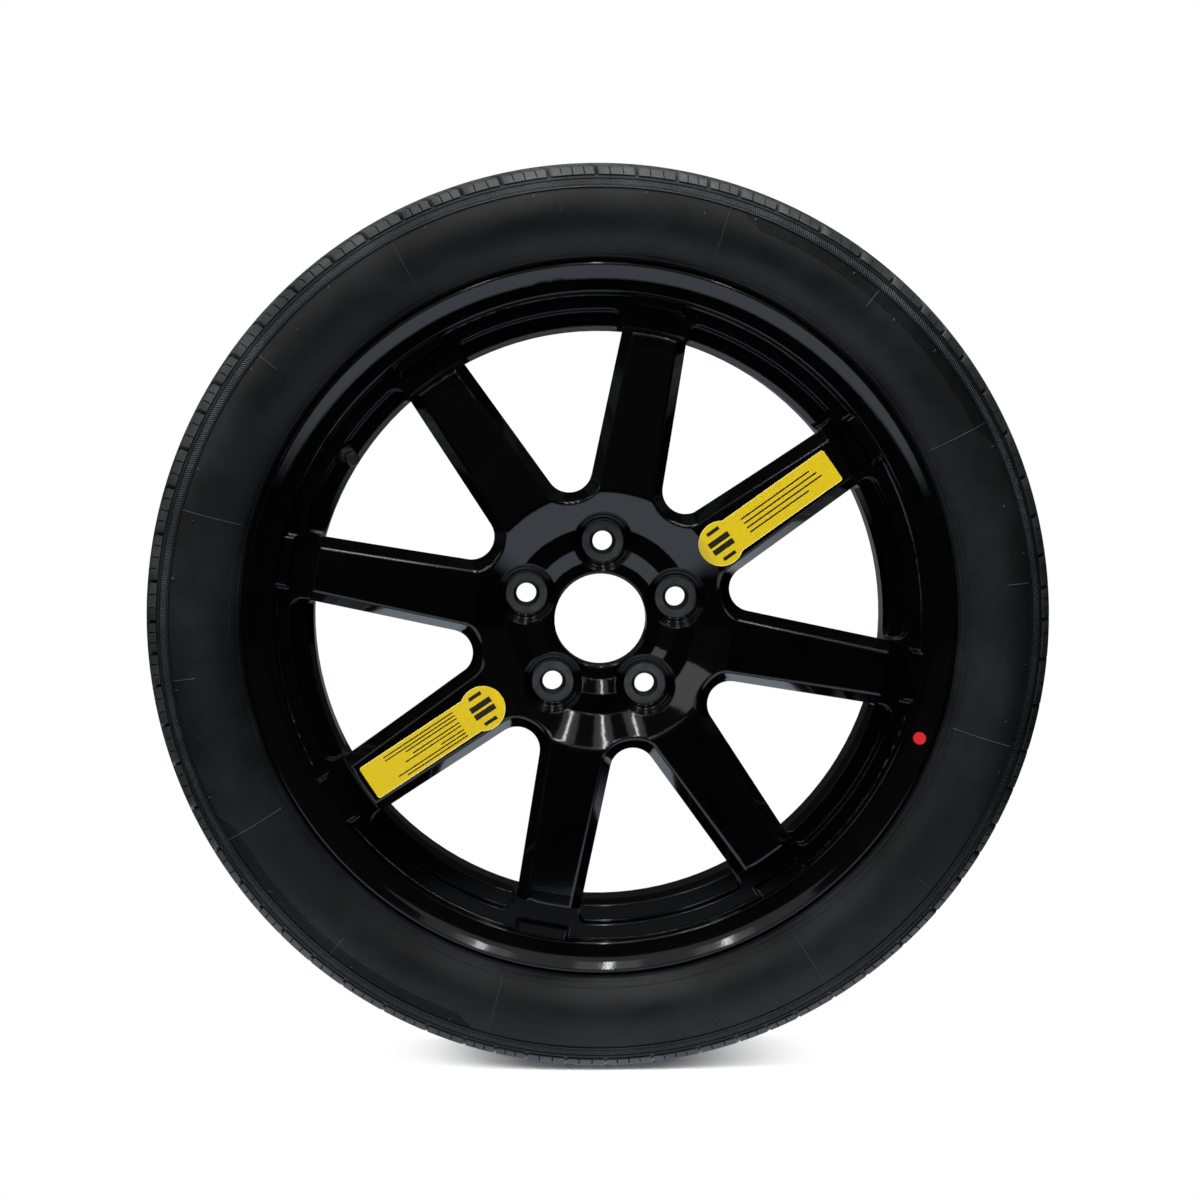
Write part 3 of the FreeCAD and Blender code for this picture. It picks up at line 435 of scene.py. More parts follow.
def turned_copies_tree():
    """Copies of a shape about the wheel's axis: count, first angle and step in degrees, finish."""
    tree = bpy.data.node_groups.new("turned_copies", "GeometryNodeTree")
    face = tree.interface
    face.new_socket("Shape", in_out="INPUT", socket_type="NodeSocketGeometry")
    sockets = {
        "count": face.new_socket("Count", in_out="INPUT", socket_type="NodeSocketInt"),
        "first": face.new_socket("First angle", in_out="INPUT", socket_type="NodeSocketFloat"),
        "step": face.new_socket("Step angle", in_out="INPUT", socket_type="NodeSocketFloat"),
        "finish": face.new_socket("Finish", in_out="INPUT", socket_type="NodeSocketMaterial"),
    }
    face.new_socket("Shape", in_out="OUTPUT", socket_type="NodeSocketGeometry")
    start = tree.nodes.new("NodeGroupInput")
    end = tree.nodes.new("NodeGroupOutput")
    points = tree.nodes.new("GeometryNodePoints")
    index = tree.nodes.new("GeometryNodeInputIndex")
    angle = node(tree, "ShaderNodeMath", operation="MULTIPLY_ADD")
    radians = node(tree, "ShaderNodeMath", operation="MULTIPLY")
    radians.inputs[1].default_value = -math.pi / 180
    about_y = tree.nodes.new("ShaderNodeCombineXYZ")
    rotation = tree.nodes.new("FunctionNodeEulerToRotation")
    copies = tree.nodes.new("GeometryNodeInstanceOnPoints")
    real = tree.nodes.new("GeometryNodeRealizeInstances")
    coat = tree.nodes.new("GeometryNodeSetMaterial")
    link = tree.links.new
    link(start.outputs["Count"], points.inputs["Count"])
    link(index.outputs["Index"], angle.inputs[0])
    link(start.outputs["Step angle"], angle.inputs[1])
    link(start.outputs["First angle"], angle.inputs[2])
    link(angle.outputs["Value"], radians.inputs[0])
    link(radians.outputs["Value"], about_y.inputs["Y"])
    link(about_y.outputs["Vector"], rotation.inputs["Euler"])
    link(points.outputs["Points"], copies.inputs["Points"])
    link(start.outputs["Shape"], copies.inputs["Instance"])
    link(rotation.outputs["Rotation"], copies.inputs["Rotation"])
    link(copies.outputs["Instances"], real.inputs["Geometry"])
    link(real.outputs["Geometry"], coat.inputs["Geometry"])
    link(start.outputs["Finish"], coat.inputs["Material"])
    link(coat.outputs["Geometry"], end.inputs["Shape"])
    return tree, sockets


copies_tree, copies_inputs = turned_copies_tree()


def turned_copies(mesh, count, first, step, finish):
    """Plain mesh of copies of a mesh, turned about the wheel's axis."""
    mesh.materials.append(finish)
    source = bpy.data.objects.new(mesh.name, mesh)
    bpy.context.scene.collection.objects.link(source)
    modifier = source.modifiers.new("copies", "NODES")
    modifier.node_group = copies_tree
    values = {"count": count, "first": first, "step": step, "finish": finish}
    for key, value in values.items():
        modifier[copies_inputs[key].identifier] = value
    seen = source.evaluated_get(bpy.context.evaluated_depsgraph_get())
    result = bpy.data.meshes.new_from_object(seen)
    source.modifiers.remove(modifier)
    bpy.data.objects.remove(source)
    return result


def joined(meshes, name):
    """One mesh from several, with the finish of the first."""
    work = bmesh.new()
    for mesh in meshes:
        work.from_mesh(mesh)
    result = bpy.data.meshes.new(name)
    work.to_mesh(result)
    work.free()
    result.materials.append(meshes[0].materials[0])
    return result


# Tyre casing and tread


def flank_h(radius):
    """Height of the straight upper flank of the sidewall."""
    slope = (SIDE_CORNER[1] - BLOCK_FOOT[1]) / (BLOCK_FOOT[0] - SIDE_CORNER[0])
    return BLOCK_FOOT[1] + (BLOCK_FOOT[0] - radius) * slope


SIDE_LINE = rounded_line(
    [
        (*BLOCK_FOOT, 0),
        (320.8, flank_h(320.8) + 0.7, 0.25),
        (319.2, flank_h(319.2) + 0.7, 0.25),
        (318.85, flank_h(318.85), 0),
        (313.8, flank_h(313.8), 0),
        (313.55, flank_h(313.8) + 0.8, 0.2),
        (312.65, flank_h(312.4) + 0.8, 0.2),
        (312.4, flank_h(312.4), 0),
        (*SIDE_CORNER, SIDE_ROUND),
        (269.3, 66.1, 0),
        (268.8, 66.3, 0.2),
        (267.6, 65.3, 0.2),
        (267.4, 64.5, 0),
        (266.1, 63.4, 0.6),
        (264.0, 60.1, 0),
        (263.4, 59.7, 0.2),
        (262.7, 58.5, 0.2),
        (262.6, 57.8, 0),
        (261.1, 55.4, 0),
    ],
    8,
)
BEAD_LINE = rounded_line(
    [
        (261.1, 55.4, 0),
        (261.1, 51.4, 1.3),
        (257.9, 50.55, 1.3),
        (243.95, 50.55, 6.5),
        (242.8, 37.8, 0),
        (253.0, 43.3, 7.5),
        (292.5, 75.0, 28.5),
        (313.9, 57.5, 7.5),
        (321.0, 26.0, 0),
    ],
    6,
)
CROWN_LINE = [
    Vector((327.0, 3.2)),
    Vector((326.6, 10.0)),
    Vector((326.2, 18.0)),
    Vector((325.94, 23.0)),
    Vector((325.94, 29.0)),
    Vector((SLOT_FLOOR_R, SLOT_INNER_H)),
]


def side_h(radius):
    """Height of the sidewall's surface at a radius from its foot to the blocks."""
    for before, after in zip(SIDE_LINE, SIDE_LINE[1:]):
        if after.x <= radius <= before.x and before.x > after.x:
            share = (before.x - radius) / (before.x - after.x)
            return before.y + (after.y - before.y) * share
    return SIDE_LINE[-1].y


def both_sides(line):
    """A closed outline from the outer half of a section."""
    return [tuple(point) for point in line] + [(point[0], -point[1]) for point in reversed(line)]


def mirrored_too(points, faces):
    """The same shape on both sides of the tyre."""
    count = len(points)
    points = points + [Vector((point.x, -point.y, point.z)) for point in points]
    faces = faces + [[count + index for index in reversed(face)] for face in faces]
    return points, faces


def casing():
    """Casing: groove floors, sidewalls, beads and lining, turned in one piece."""
    points, faces = turned([both_sides(CROWN_LINE + SIDE_LINE + BEAD_LINE[1:])])
    mesh = mesh_of("tyre_casing", points, faces)
    on_floor(mesh)
    return shown("tyre_casing", mesh, rubber, 28.0)


def tread_r(h):
    """Radius of the tread's surface."""
    return TYRE_R - TREAD_DROP * (h / TREAD_EDGE[1]) ** 2


def tread_ribs():
    """The two middle ribs and the inner bands of the shoulders."""
    rib = [(326.0, 3.0), (tread_r(3.6) - RIB_EDGE, 3.5), (tread_r(4.1), 4.1)]
    rib += [(tread_r(h), h) for h in (9.0, 13.0, 17.5, 21.9)]
    rib += [(tread_r(22.5) - RIB_EDGE, 22.5), (325.0, 23.0)]
    band = [(325.0, 29.0), (tread_r(29.6) - RIB_EDGE, 29.5), (tread_r(30.2), 30.2)]
    band += [(tread_r(SLOT_INNER_H), SLOT_INNER_H), (324.6, SLOT_INNER_H)]
    lines = [rib, band]
    lines += [[(radius, -h) for radius, h in line] for line in lines]
    mesh = mesh_of("tread_ribs", *turned(lines))
    on_floor(mesh)
    return shown("tread_ribs", mesh, tread_rubber_painted_highlight)


BLOCK_LINE = rounded_line(
    [
        (tread_r(SLOT_INNER_H), SLOT_INNER_H, 0),
        (330.2, 42.0, 0),
        (329.3, 48.0, 0),
        (*TREAD_EDGE, TREAD_EDGE_ROUND),
        (325.4, 60.8, 0),
        (323.4, 64.1, 0),
        (*BLOCK_LIP, 0.3),
        (*BLOCK_FOOT, 0),
    ],
    3,
)
# Sipes: place across the block as a share, sideways hook in millimetres, last row of the block's line
LONG_SIPES = ((0.24, -1.6, 9), (0.5, 1.2, 10), (0.76, -1.4, 8))
SHORT_SIPES = ((0.33, -1.5, 9), (0.68, 1.3, 10))
HOOK_ROW = 4


def slot_shift(radius, h):
    """Sideways shift of a slot's middle, in millimetres, as it crosses the shoulder."""
    return (BLOCK_FOOT[1] - h) * SLOT_SKEW - (radius - BLOCK_FOOT[0]) * SLOT_SLANT


def line_normals(line):
    """Outward direction at each point of a (radius, h) line that runs from the tread to the side."""
    normals = []
    for index in range(len(line)):
        along = line[min(index + 1, len(line) - 1)] - line[max(index - 1, 0)]
        normals.append(Vector((along.y, -along.x)).normalized())
    return normals


def shoulder_block(first, last, sipes, points, faces):
    """One shoulder block between two slots, with its sipes cut into it."""
    rows = len(BLOCK_LINE)
    normals = line_normals(BLOCK_LINE)
    width = (last - first) * math.pi / 180 * TYRE_R - 2 * SLOT_HALF_W
    columns = [0.0, BLOCK_EDGE / width]
    cuts = []
    for share, _, _ in sipes:
        cuts.append(len(columns))
        columns += [share - SIPE_W / 2 / width, share + SIPE_W / 2 / width]
    columns += [1 - BLOCK_EDGE / width, 1.0]
    hooks = {}
    for cut, (_, hook, _) in zip(cuts, sipes):
        hooks[cut] = hooks[cut + 1] = hook / width

    def place(row, column, sink):
        radius, h = BLOCK_LINE[row] - normals[row] * sink
        share = columns[column]
        if column in hooks:
            share += hooks[column] * max(0.0, (row - HOOK_ROW) / (rows - HOOK_ROW)) ** 2
        shift = math.degrees(slot_shift(radius, h) / radius)
        gap = math.degrees(SLOT_HALF_W / radius)
        angle = first + gap + (last - first - 2 * gap) * share + shift
        return wheel_point(radius, h, angle)

    base = len(points)
    count = len(columns)
    for row in range(rows):
        for column in range(count):
            sink = BLOCK_EDGE if column in (0, count - 1) else 0.0
            points.append(place(row, column, sink if row < rows - 2 else 0.0))

    def at(row, column):
        return base + row * count + column

    # Outer surface, open over the sipes
    ends = {cut: last_row for cut, (_, _, last_row) in zip(cuts, sipes)}
    for row in range(rows - 1):
        for column in range(count - 1):
            if column in ends and 1 <= row < ends[column]:
                continue
            here, there = at(row, column), at(row + 1, column)
            faces.append((here, here + 1, there + 1, there))

    # Floors, walls and ends of the sipes
    for cut, end in ends.items():
        floor_at = len(points)
        for row in range(1, end + 1):
            points.append(place(row, cut, SIPE_DEPTH))
            points.append(place(row, cut + 1, SIPE_DEPTH))
        for step in range(end - 1):
            row = 1 + step
            left, right = floor_at + 2 * step, floor_at + 2 * step + 1
            faces.append((left, right, right + 2, left + 2))
            faces.append((at(row, cut), left, left + 2, at(row + 1, cut)))
            faces.append((right, at(row, cut + 1), at(row + 1, cut + 1), right + 2))
        faces.append((at(1, cut), at(1, cut + 1), floor_at + 1, floor_at))
        tail = floor_at + 2 * (end - 1)
        faces.append((tail, tail + 1, at(end, cut + 1), at(end, cut)))

    # Walls of the slots, underside and both ends of the block
    foot = len(points)
    for row in range(rows):
        share = row / (rows - 1)
        radius = SLOT_FLOOR_R + (BLOCK_FOOT[0] - SLOT_FLOOR_R) * share - BLOCK_SINK
        h = SLOT_INNER_H + (BLOCK_FOOT[1] - BLOCK_SINK - SLOT_INNER_H) * share
        shift = math.degrees(slot_shift(radius, h) / radius)
        gap = math.degrees(SLOT_HALF_W / radius)
        points.append(wheel_point(radius, h, first + gap + shift))
        points.append(wheel_point(radius, h, last - gap + shift))
    for row in range(rows - 1):
        left, right = foot + 2 * row, foot + 2 * row + 1
        faces.append((at(row, 0), at(row + 1, 0), left + 2, left))
        faces.append((at(row, count - 1), right, right + 2, at(row + 1, count - 1)))
        faces.append((left, left + 2, right + 2, right))
    faces.append([at(0, column) for column in range(count)] + [foot + 1, foot])
    tail = foot + 2 * (rows - 1)
    faces.append([at(rows - 1, column) for column in range(count)] + [tail + 1, tail])


def shoulder_blocks():
    """Shoulder blocks of both sides: one run of seven pitches, copied around the tyre."""
    points, faces = [], []
    scale = 360.0 / (sum(PITCHES) * SECTORS)
    angle = 0.0
    for pitch in PITCHES:
        sipes = LONG_SIPES if pitch > LONG_PITCH else SHORT_SIPES
        shoulder_block(angle, angle + pitch * scale, sipes, points, faces)
        angle += pitch * scale
    run = mesh_of("shoulder_run", *mirrored_too(points, faces))
    mesh = turned_copies(run, SECTORS, 0.0, 360.0 / SECTORS, tread_rubber_painted_highlight)
    on_floor(mesh)
    return shown("shoulder_blocks", mesh, tread_rubber_painted_highlight, 38.0)


# Sidewall relief, in millimetres and degrees

RELIEF_CREASE = 20.0
RIDGE_SINK = 0.25
BAND_TEETH = 1200
BAND_TOOTH = ((318.5, 0.9), (314.1, -0.9))
BAND_HALF_W = 0.44
BAND_LIFT = 0.5
MOULD_LINES = (5.0, 27.3, 50.0, 72.7, 95.7, 118.9, 142.0, 164.9)
MOULD_LINES += (187.8, 210.3, 230.8, 254.5, 276.8, 301.6, 320.8, 342.8)
MOULD_TOP_R = 312.0
MOULD_SHORT_R = 296.0
MOULD_LONG_R = 267.5
MOULD_STEPS = 14
MOULD_HALF_W = 0.42
MOULD_LIFT = 0.42
KNURL_PATCHES = ((24.2, 71.2), (206.7, 252.7))
KNURL_TOP_R = 311.6
KNURL_ROWS = 11
KNURL_ROW_STEP = 0.78
KNURL_END_STEP = 0.28
KNURL_CELL = 2.4
KNURL_WAVE = 0.26
KNURL_HALF_W = 0.3
KNURL_LIFT = 0.26
HAIR_STEPS = 4
HAIR_SIDES = 5
HAIR_R = 0.42


def side_point(radius, across, lift):
    """Point on the outer sidewall: a radius, a distance across in millimetres and a lift."""
    return wheel_point(radius, side_h(radius) + lift, math.degrees(across / radius))


def ridge(path, half_width, lift):
    """Small raised ridge along (radius, across) points on the outer sidewall."""
    points, faces = [], []
    for index, (radius, across) in enumerate(path):
        before = path[max(index - 1, 0)]
        after = path[min(index + 1, len(path) - 1)]
        along = Vector((after[0] - before[0], after[1] - before[1])).normalized()
        side = Vector((-along.y, along.x)) * half_width
        points.append(side_point(radius + side.x, across + side.y, -RIDGE_SINK))
        points.append(side_point(radius, across, lift))
        points.append(side_point(radius - side.x, across - side.y, -RIDGE_SINK))
    for index in range(len(path) - 1):
        here, there = 3 * index, 3 * index + 3
        faces.append((here, here + 1, there + 1, there))
        faces.append((here + 1, here + 2, there + 2, there + 1))
        faces.append((here + 2, here, there, there + 2))
    faces.append((0, 2, 1))
    tail = 3 * (len(path) - 1)
    faces.append((tail, tail + 1, tail + 2))
    return points, faces


def serrated_band():
    """Fine slanted teeth around both sidewalls, between the rib and the ring line."""
    tooth = mesh_of("band_tooth", *mirrored_too(*ridge(BAND_TOOTH, BAND_HALF_W, BAND_LIFT)))
    return turned_copies(tooth, BAND_TEETH, 0.0, 360.0 / BAND_TEETH, relief_rubber_painted_highlight)


def mould_lines():
    """Thin raised seams of the mould's segments, some over the whole sidewall and some short."""
    meshes = []
    for number, angle in enumerate(MOULD_LINES):
        length = MOULD_TOP_R - (MOULD_LONG_R if number % 2 else MOULD_SHORT_R)
        path = [(MOULD_TOP_R - length * step / MOULD_STEPS, 0.0) for step in range(MOULD_STEPS + 1)]
        seam = mesh_of("mould_seam", *mirrored_too(*ridge(path, MOULD_HALF_W, MOULD_LIFT)))
        meshes.append(turned_copies(seam, 1, angle, 0.0, relief_rubber_painted_highlight))
    return meshes


def hair(radius, length, lean):
    """Thin rubber whisker left by a vent, lying out from the sidewall."""
    points = []
    for step in range(HAIR_STEPS + 1):
        share = step / HAIR_STEPS
        lift = length * (0.9 * share - 0.25 * share**2)
        middle = side_point(radius - length * 0.5 * share**2, lean * share, lift)
        thick = HAIR_R * (1 - 0.45 * share) * MM
        for side in range(HAIR_SIDES):
            turn = 2 * math.pi * side / HAIR_SIDES
            points.append(middle + Vector((thick * math.cos(turn), 0, thick * math.sin(turn))))
    return points, tube_faces(HAIR_STEPS, HAIR_SIDES)


def vent_hairs():
    """Vent whiskers: a ring on both sidewalls below the ring line, and a lower one on the outer."""
    upper = mesh_of("vent_hair", *mirrored_too(*hair(310.8, 4.2, 0.6)))
    lower = mesh_of("vent_hair", *hair(303.5, 3.2, -0.7))
    return [
        turned_copies(upper, 24, 9.0, 15.0, relief_rubber_painted_highlight),
        turned_copies(lower, 12, 16.0, 30.0, relief_rubber_painted_highlight),
    ]


def sidewall_relief():
    """Band teeth, mould lines and vent whiskers, flush with the part's box at the back."""
    mesh = joined([serrated_band(), *mould_lines(), *vent_hairs()], "sidewall_relief")
    for vertex in mesh.vertices:
        vertex.co.y = min(vertex.co.y, cad_box[1][1])
    return shown("sidewall_relief", mesh, relief_rubber_painted_highlight, RELIEF_CREASE)


def knurled_patches():
    """Two bands of fine wavy ridges on each sidewall, with slanted ends."""
    meshes = []
    for first, last in KNURL_PATCHES:
        for row in range(KNURL_ROWS):
            radius = KNURL_TOP_R - row * KNURL_ROW_STEP
            begin = first + row * KNURL_END_STEP
            end = last - row * KNURL_END_STEP
            count = int((end - begin) * math.pi / 180 * radius / KNURL_CELL)
            wave = [(radius, 0.0), (radius + KNURL_WAVE, KNURL_CELL / 2), (radius, KNURL_CELL)]
            cell = mesh_of("knurl_cell", *mirrored_too(*ridge(wave, KNURL_HALF_W, KNURL_LIFT)))
            step = math.degrees(KNURL_CELL / radius)
            meshes.append(turned_copies(cell, count, begin, step, knurl_rubber_painted_shade))
    mesh = joined(meshes, "knurled_patches")
    return shown("knurled_patches", mesh, knurl_rubber_painted_shade, RELIEF_CREASE)


tyre_casing = casing()
tyre_pieces = [tyre_casing, tread_ribs(), shoulder_blocks(), sidewall_relief(), knurled_patches()]
for piece in tyre_pieces:
    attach(piece, "wheel")
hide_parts("tyre")


# Valve core spring, in millimetres along the valve's axis from its foot

SPRING_FOOT = 27.0
SPRING_HEAD = 32.7
SPRING_COIL_R = 1.225
SPRING_WIRE_R = 0.16
SPRING_END = 0.2
SPRING_TURNS = 6
SPRING_STEPS = 18 * SPRING_TURNS
SPRING_SIDES = 6


def spring_coil(at, axis):
    """Coil along the valve's axis, from the floor of its well to the pin's head."""
    aside = axis.orthogonal().normalized()
    other = axis.cross(aside)
    points = []
    low, high = SPRING_FOOT + SPRING_END, SPRING_HEAD - SPRING_END
    for step in range(SPRING_STEPS + 1):
        turn = 2 * math.pi * SPRING_TURNS * step / SPRING_STEPS
        out = aside * math.cos(turn) + other * math.sin(turn)
        middle = out * SPRING_COIL_R + axis * (low + (high - low) * step / SPRING_STEPS)
        for side in range(SPRING_SIDES):
            around = 2 * math.pi * side / SPRING_SIDES
            wire = out * math.cos(around) + axis * math.sin(around)
            points.append(at + (middle + wire * SPRING_WIRE_R) * MM)
    mesh = mesh_of("valve_spring_coil", points, tube_faces(SPRING_STEPS, SPRING_SIDES))
    return shown("valve_spring_coil", mesh, spring_wire)


joints = {joint["name"]: joint for joint in frame["record"]["behaviour"]["joints"]}
valve_at = Vector(joints["cap_turn"]["pos_m"])
valve_axis = Vector(joints["cap_turn"]["axis"]).normalized()
coil = spring_coil(valve_at, valve_axis)
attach(coil, "wheel")
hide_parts("valve_core_spring")
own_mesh(coil)


# Labels, in millimetres along, across and above the spoke's face

LABEL_HEAD_R = 16.35
LABEL_HALF_W = 13.15
LABEL_LEAST_HALF_W = 0.3
LABEL_LENGTH = 114.9
LABEL_CORNER = 2.0
LABEL_CREASE = 30.0
LABEL_UNDER = 0.02
LABEL_TOP = 0.19
PRINT_UNDER = LABEL_TOP - 0.05
PRINT_TOP = 0.225
BORDER_TOP = PRINT_TOP - 0.01
BORDER_W = 0.55


def face_h(radius):
    """Height of the hub and spoke front at a radius."""
    flat_from = DISH_R + DISH_ROUND * math.tan(DISH_LEAN / 2)
    slope_to = flat_from - DISH_ROUND * math.sin(DISH_LEAN)
    if radius >= flat_from:
        return FACE_H
    if radius <= slope_to:
        return FACE_H - (DISH_R - radius) * math.tan(DISH_LEAN)
    return FACE_H - DISH_ROUND + math.sqrt(DISH_ROUND**2 - (flat_from - radius) ** 2)


def label_half_width(along):
    """Half the label's width at a distance from its head's end."""
    round_head = LABEL_HEAD_R**2 - (along - LABEL_HEAD_R) ** 2
    width = math.sqrt(max(round_head, 0.0))
    if along >= LABEL_HEAD_R:
        width = max(width, LABEL_HALF_W)
    end = along - (LABEL_LENGTH - LABEL_CORNER)
    if end > 0:
        width = LABEL_HALF_W - LABEL_CORNER + math.sqrt(max(LABEL_CORNER**2 - end**2, 0.0))
    return max(width, LABEL_LEAST_HALF_W)


class Label:
    """A label's place: its spoke, where its head begins, how far aside, and its turn."""

    def __init__(self, spoke, begin, aside, turn):
        self.angle = math.radians(FIRST_SPOKE + SPOKE_PITCH * spoke)
        self.begin = begin
        self.aside = aside
        self.turn = math.radians(turn)

    def point(self, along, across, lift):
        """Point in metres at a place on the label, above the wheel's face."""
        head = self.begin + LABEL_HEAD_R
        reach_out = along - LABEL_HEAD_R
        x = head + reach_out * math.cos(self.turn) - across * math.sin(self.turn)
        z = reach_out * math.sin(self.turn) + across * math.cos(self.turn) + self.aside
        h = face_h(math.hypot(x, z)) + lift
        turned_x = x * math.cos(self.angle) - z * math.sin(self.angle)
        turned_z = x * math.sin(self.angle) + z * math.cos(self.angle)
        return Vector((turned_x, -h, turned_z)) * MM

    def patch(self, rows, columns, width_at, low, high, points, faces):
        """Closed thin sheet over rows along the label, as wide as width_at says at each row."""
        sheets = []
        for lift in (high, low):
            sheets.append(len(points))
            for along in rows:
                left, right = width_at(along)
                for column in range(columns + 1):
                    across = left + (right - left) * column / columns
                    points.append(self.point(along, across, lift))
        top, under = sheets
        stride = columns + 1
        for row in range(len(rows) - 1):
            for column in range(columns):
                here = row * stride + column
                quad = (here, here + 1, here + stride + 1, here + stride)
                faces.append([top + index for index in quad])
                faces.append([under + index for index in reversed(quad)])
        edge = list(range(stride))
        edge += [row * stride + columns for row in range(1, len(rows))]
        edge += [(len(rows) - 1) * stride + column for column in range(columns - 1, -1, -1)]
        edge += [row * stride for row in range(len(rows) - 2, 0, -1)]
        for here, there in zip(edge, edge[1:] + edge[:1]):
            faces.append((top + here, top + there, under + there, under + here))


def label_rows():
    """Rows along a label, close together where its outline or the dish's edge bends."""
    head = [LABEL_HEAD_R * (1 - math.cos(math.pi * step / 48)) for step in range(1, 39)]
    tail = [LABEL_LENGTH - LABEL_CORNER * (1 - math.sin(math.pi / 2 * step / 6)) for step in range(7)]
    rows = [0.02] + head + [30.0, 36.0, 50.0, 70.0, 90.0, 110.0] + tail
    return sorted(set(round(row, 4) for row in rows))


def label_sheet(name, place):
    """The label's yellow film."""
    points, faces = [], []

    def width_at(along):
        half = label_half_width(along)
        return -half, half

    place.patch(label_rows(), 10, width_at, LABEL_UNDER, LABEL_TOP, points, faces)
    return shown(name, mesh_of(name, points, faces), film, LABEL_CREASE)


def label_print(name, place, bars):
    """Plain dark bars on a label: (along, across, half length along, half width across)."""
    points, faces = [], []
    for along, across, half_along, half_across in bars:
        rows = [along + half_along * (step / 3 - 1) for step in range(7)]
        sides = (across - half_across, across + half_across)
        place.patch(rows, 4, lambda _, sides=sides: sides, PRINT_UNDER, PRINT_TOP, points, faces)
    return shown(name, mesh_of(name, points, faces), print_ink, LABEL_CREASE)


def label_border(name, place):
    """Pale line along the label's cut edge."""
    points, faces = [], []
    for side in (-1, 1):

        def width_at(along, side=side):
            half = label_half_width(along)
            return side * max(half - BORDER_W, 0.0), side * half

        place.patch(label_rows(), 1, width_at, PRINT_UNDER, BORDER_TOP, points, faces)
    return shown(name, mesh_of(name, points, faces), film_edge, LABEL_CREASE)


HEAD_BARS = [
    (LABEL_HEAD_R, 10.6, 5.2, 1.3),
    (LABEL_HEAD_R, 3.0, 8.6, 2.1),
    (LABEL_HEAD_R, -3.0, 8.6, 2.1),
    (LABEL_HEAD_R, -10.6, 5.2, 1.3),
]
RIGHT_BARS = HEAD_BARS + [
    (68.0, 6.0, 30.0, 0.55),
    (70.0, 2.2, 32.0, 0.55),
    (71.0, -1.6, 33.0, 0.55),
    (64.0, -5.4, 26.0, 0.55),
]
LEFT_BARS = HEAD_BARS + [
    (62.0, 10.2, 26.0, 0.45),
    (65.0, 7.6, 29.0, 0.45),
    (46.0, 5.0, 10.0, 0.45),
    (60.0, 1.6, 24.0, 0.45),
    (56.0, -1.0, 20.0, 0.45),
    (58.0, -4.6, 22.0, 0.45),
    (66.0, -7.2, 30.0, 0.45),
    (66.0, -9.8, 30.0, 0.45),
]
LABELS = {
    "label_right": (Label(0, 86.8, -2.1, 0.9), RIGHT_BARS),
    "label_left": (Label(4, 89.9, 3.0, -1.0), LEFT_BARS),
}
for name, (place, bars) in LABELS.items():
    sheet = label_sheet(name + "_film", place)
    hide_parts(name)
    for piece in (sheet, label_print(name + "_print", place, bars), label_border(name + "_border", place)):
        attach(piece, "wheel")


# Floor, light and camera, in metres from the wheel's centre

FLOOR_HALF = 9.0
FLOOR_MATT = 0.4
FLOOR_LIFT = 2.6
SHADOW_WEIGHTS = (1.0, 0.7, 0.0)
SHADOW_FADE = (0.04, 0.17)
SWEEP_TINT = (0.9, 1.0, 1.14, 1)
SWEEP_FRONT = (-1.0, -0.78)
SWEEP_SIDES = (0.62, 0.36)
SWEEP_BEHIND = (0.3, 1.0)
SWEEP_BEHIND_LEVELS = (1.0, 0.12)
ROOM_LIGHT = 0.14
ROOM_SEEN = 0.02
WHEEL_CENTRE = (0.0, 0.0, 0.0)
STRIP_PLACES = (-0.505, 0.05, 0.65)
CAMERA_LENS = 104.9
CAMERA_SENSOR = 36.0
CAMERA_AT = (-0.09286, -2.59160, 0.19665)
CAMERA_AIM = (0.00154, 0.0, 0.01036)


def floor_material():
    """Floor finish: white with the wheel's shadow for the camera, and for reflections a glowing sweep of
    painted light.
    """
    material = bpy.data.materials.new("studio_floor")
    material.use_nodes = True
    tree = material.node_tree
    tree.nodes.clear()
    link = tree.links.new
    out = tree.nodes.new("ShaderNodeOutputMaterial")
    paths = tree.nodes.new("ShaderNodeLightPath")

    # For the camera: shadow near the foot, fading to white
    near = node(tree, "ShaderNodeBsdfDiffuse", Color=(FLOOR_LIFT, FLOOR_LIFT, FLOOR_LIFT, 1))
    far = tree.nodes.new("ShaderNodeEmission")
    fade = spread(tree, reach(tree, SHADOW_WEIGHTS), *SHADOW_FADE, smooth=True)
    pictured = mixed(tree, fade, near.outputs["BSDF"], far.outputs["Emission"])

    # For reflections: a glowing sweep of painted light, bright in front and dimming at its edges and
    # behind
    place = tree.nodes.new("ShaderNodeTexCoord")
    split = tree.nodes.new("ShaderNodeSeparateXYZ")
    link(place.outputs["Object"], split.inputs["Vector"])
    aside = node(tree, "ShaderNodeMath", operation="ABSOLUTE")
    link(split.outputs["X"], aside.inputs[0])
    front = spread(tree, split.outputs["Y"], *SWEEP_FRONT, smooth=True)
    sides = spread(tree, aside.outputs["Value"], *SWEEP_SIDES, smooth=True)
    behind = spread(tree, split.outputs["Y"], *SWEEP_BEHIND, *SWEEP_BEHIND_LEVELS, smooth=True)
    painted_glow_sweep = node(tree, "ShaderNodeEmission", Color=SWEEP_TINT)
    link(product(tree, product(tree, front, sides), behind), painted_glow_sweep.inputs["Strength"])

    # For all other light: a plain mid-grey floor
    matt = node(tree, "ShaderNodeBsdfDiffuse", Color=(FLOOR_MATT, FLOOR_MATT, FLOOR_MATT, 1))
    mirrored = node(tree, "ShaderNodeMath", operation="MAXIMUM")
    link(paths.outputs["Is Glossy Ray"], mirrored.inputs[0])
    link(paths.outputs["Is Transmission Ray"], mirrored.inputs[1])
    unseen = mixed(tree, mirrored.outputs["Value"], matt.outputs["BSDF"], painted_glow_sweep.outputs["Emission"])
    link(mixed(tree, paths.outputs["Is Camera Ray"], unseen, pictured), out.inputs["Surface"])
    return material


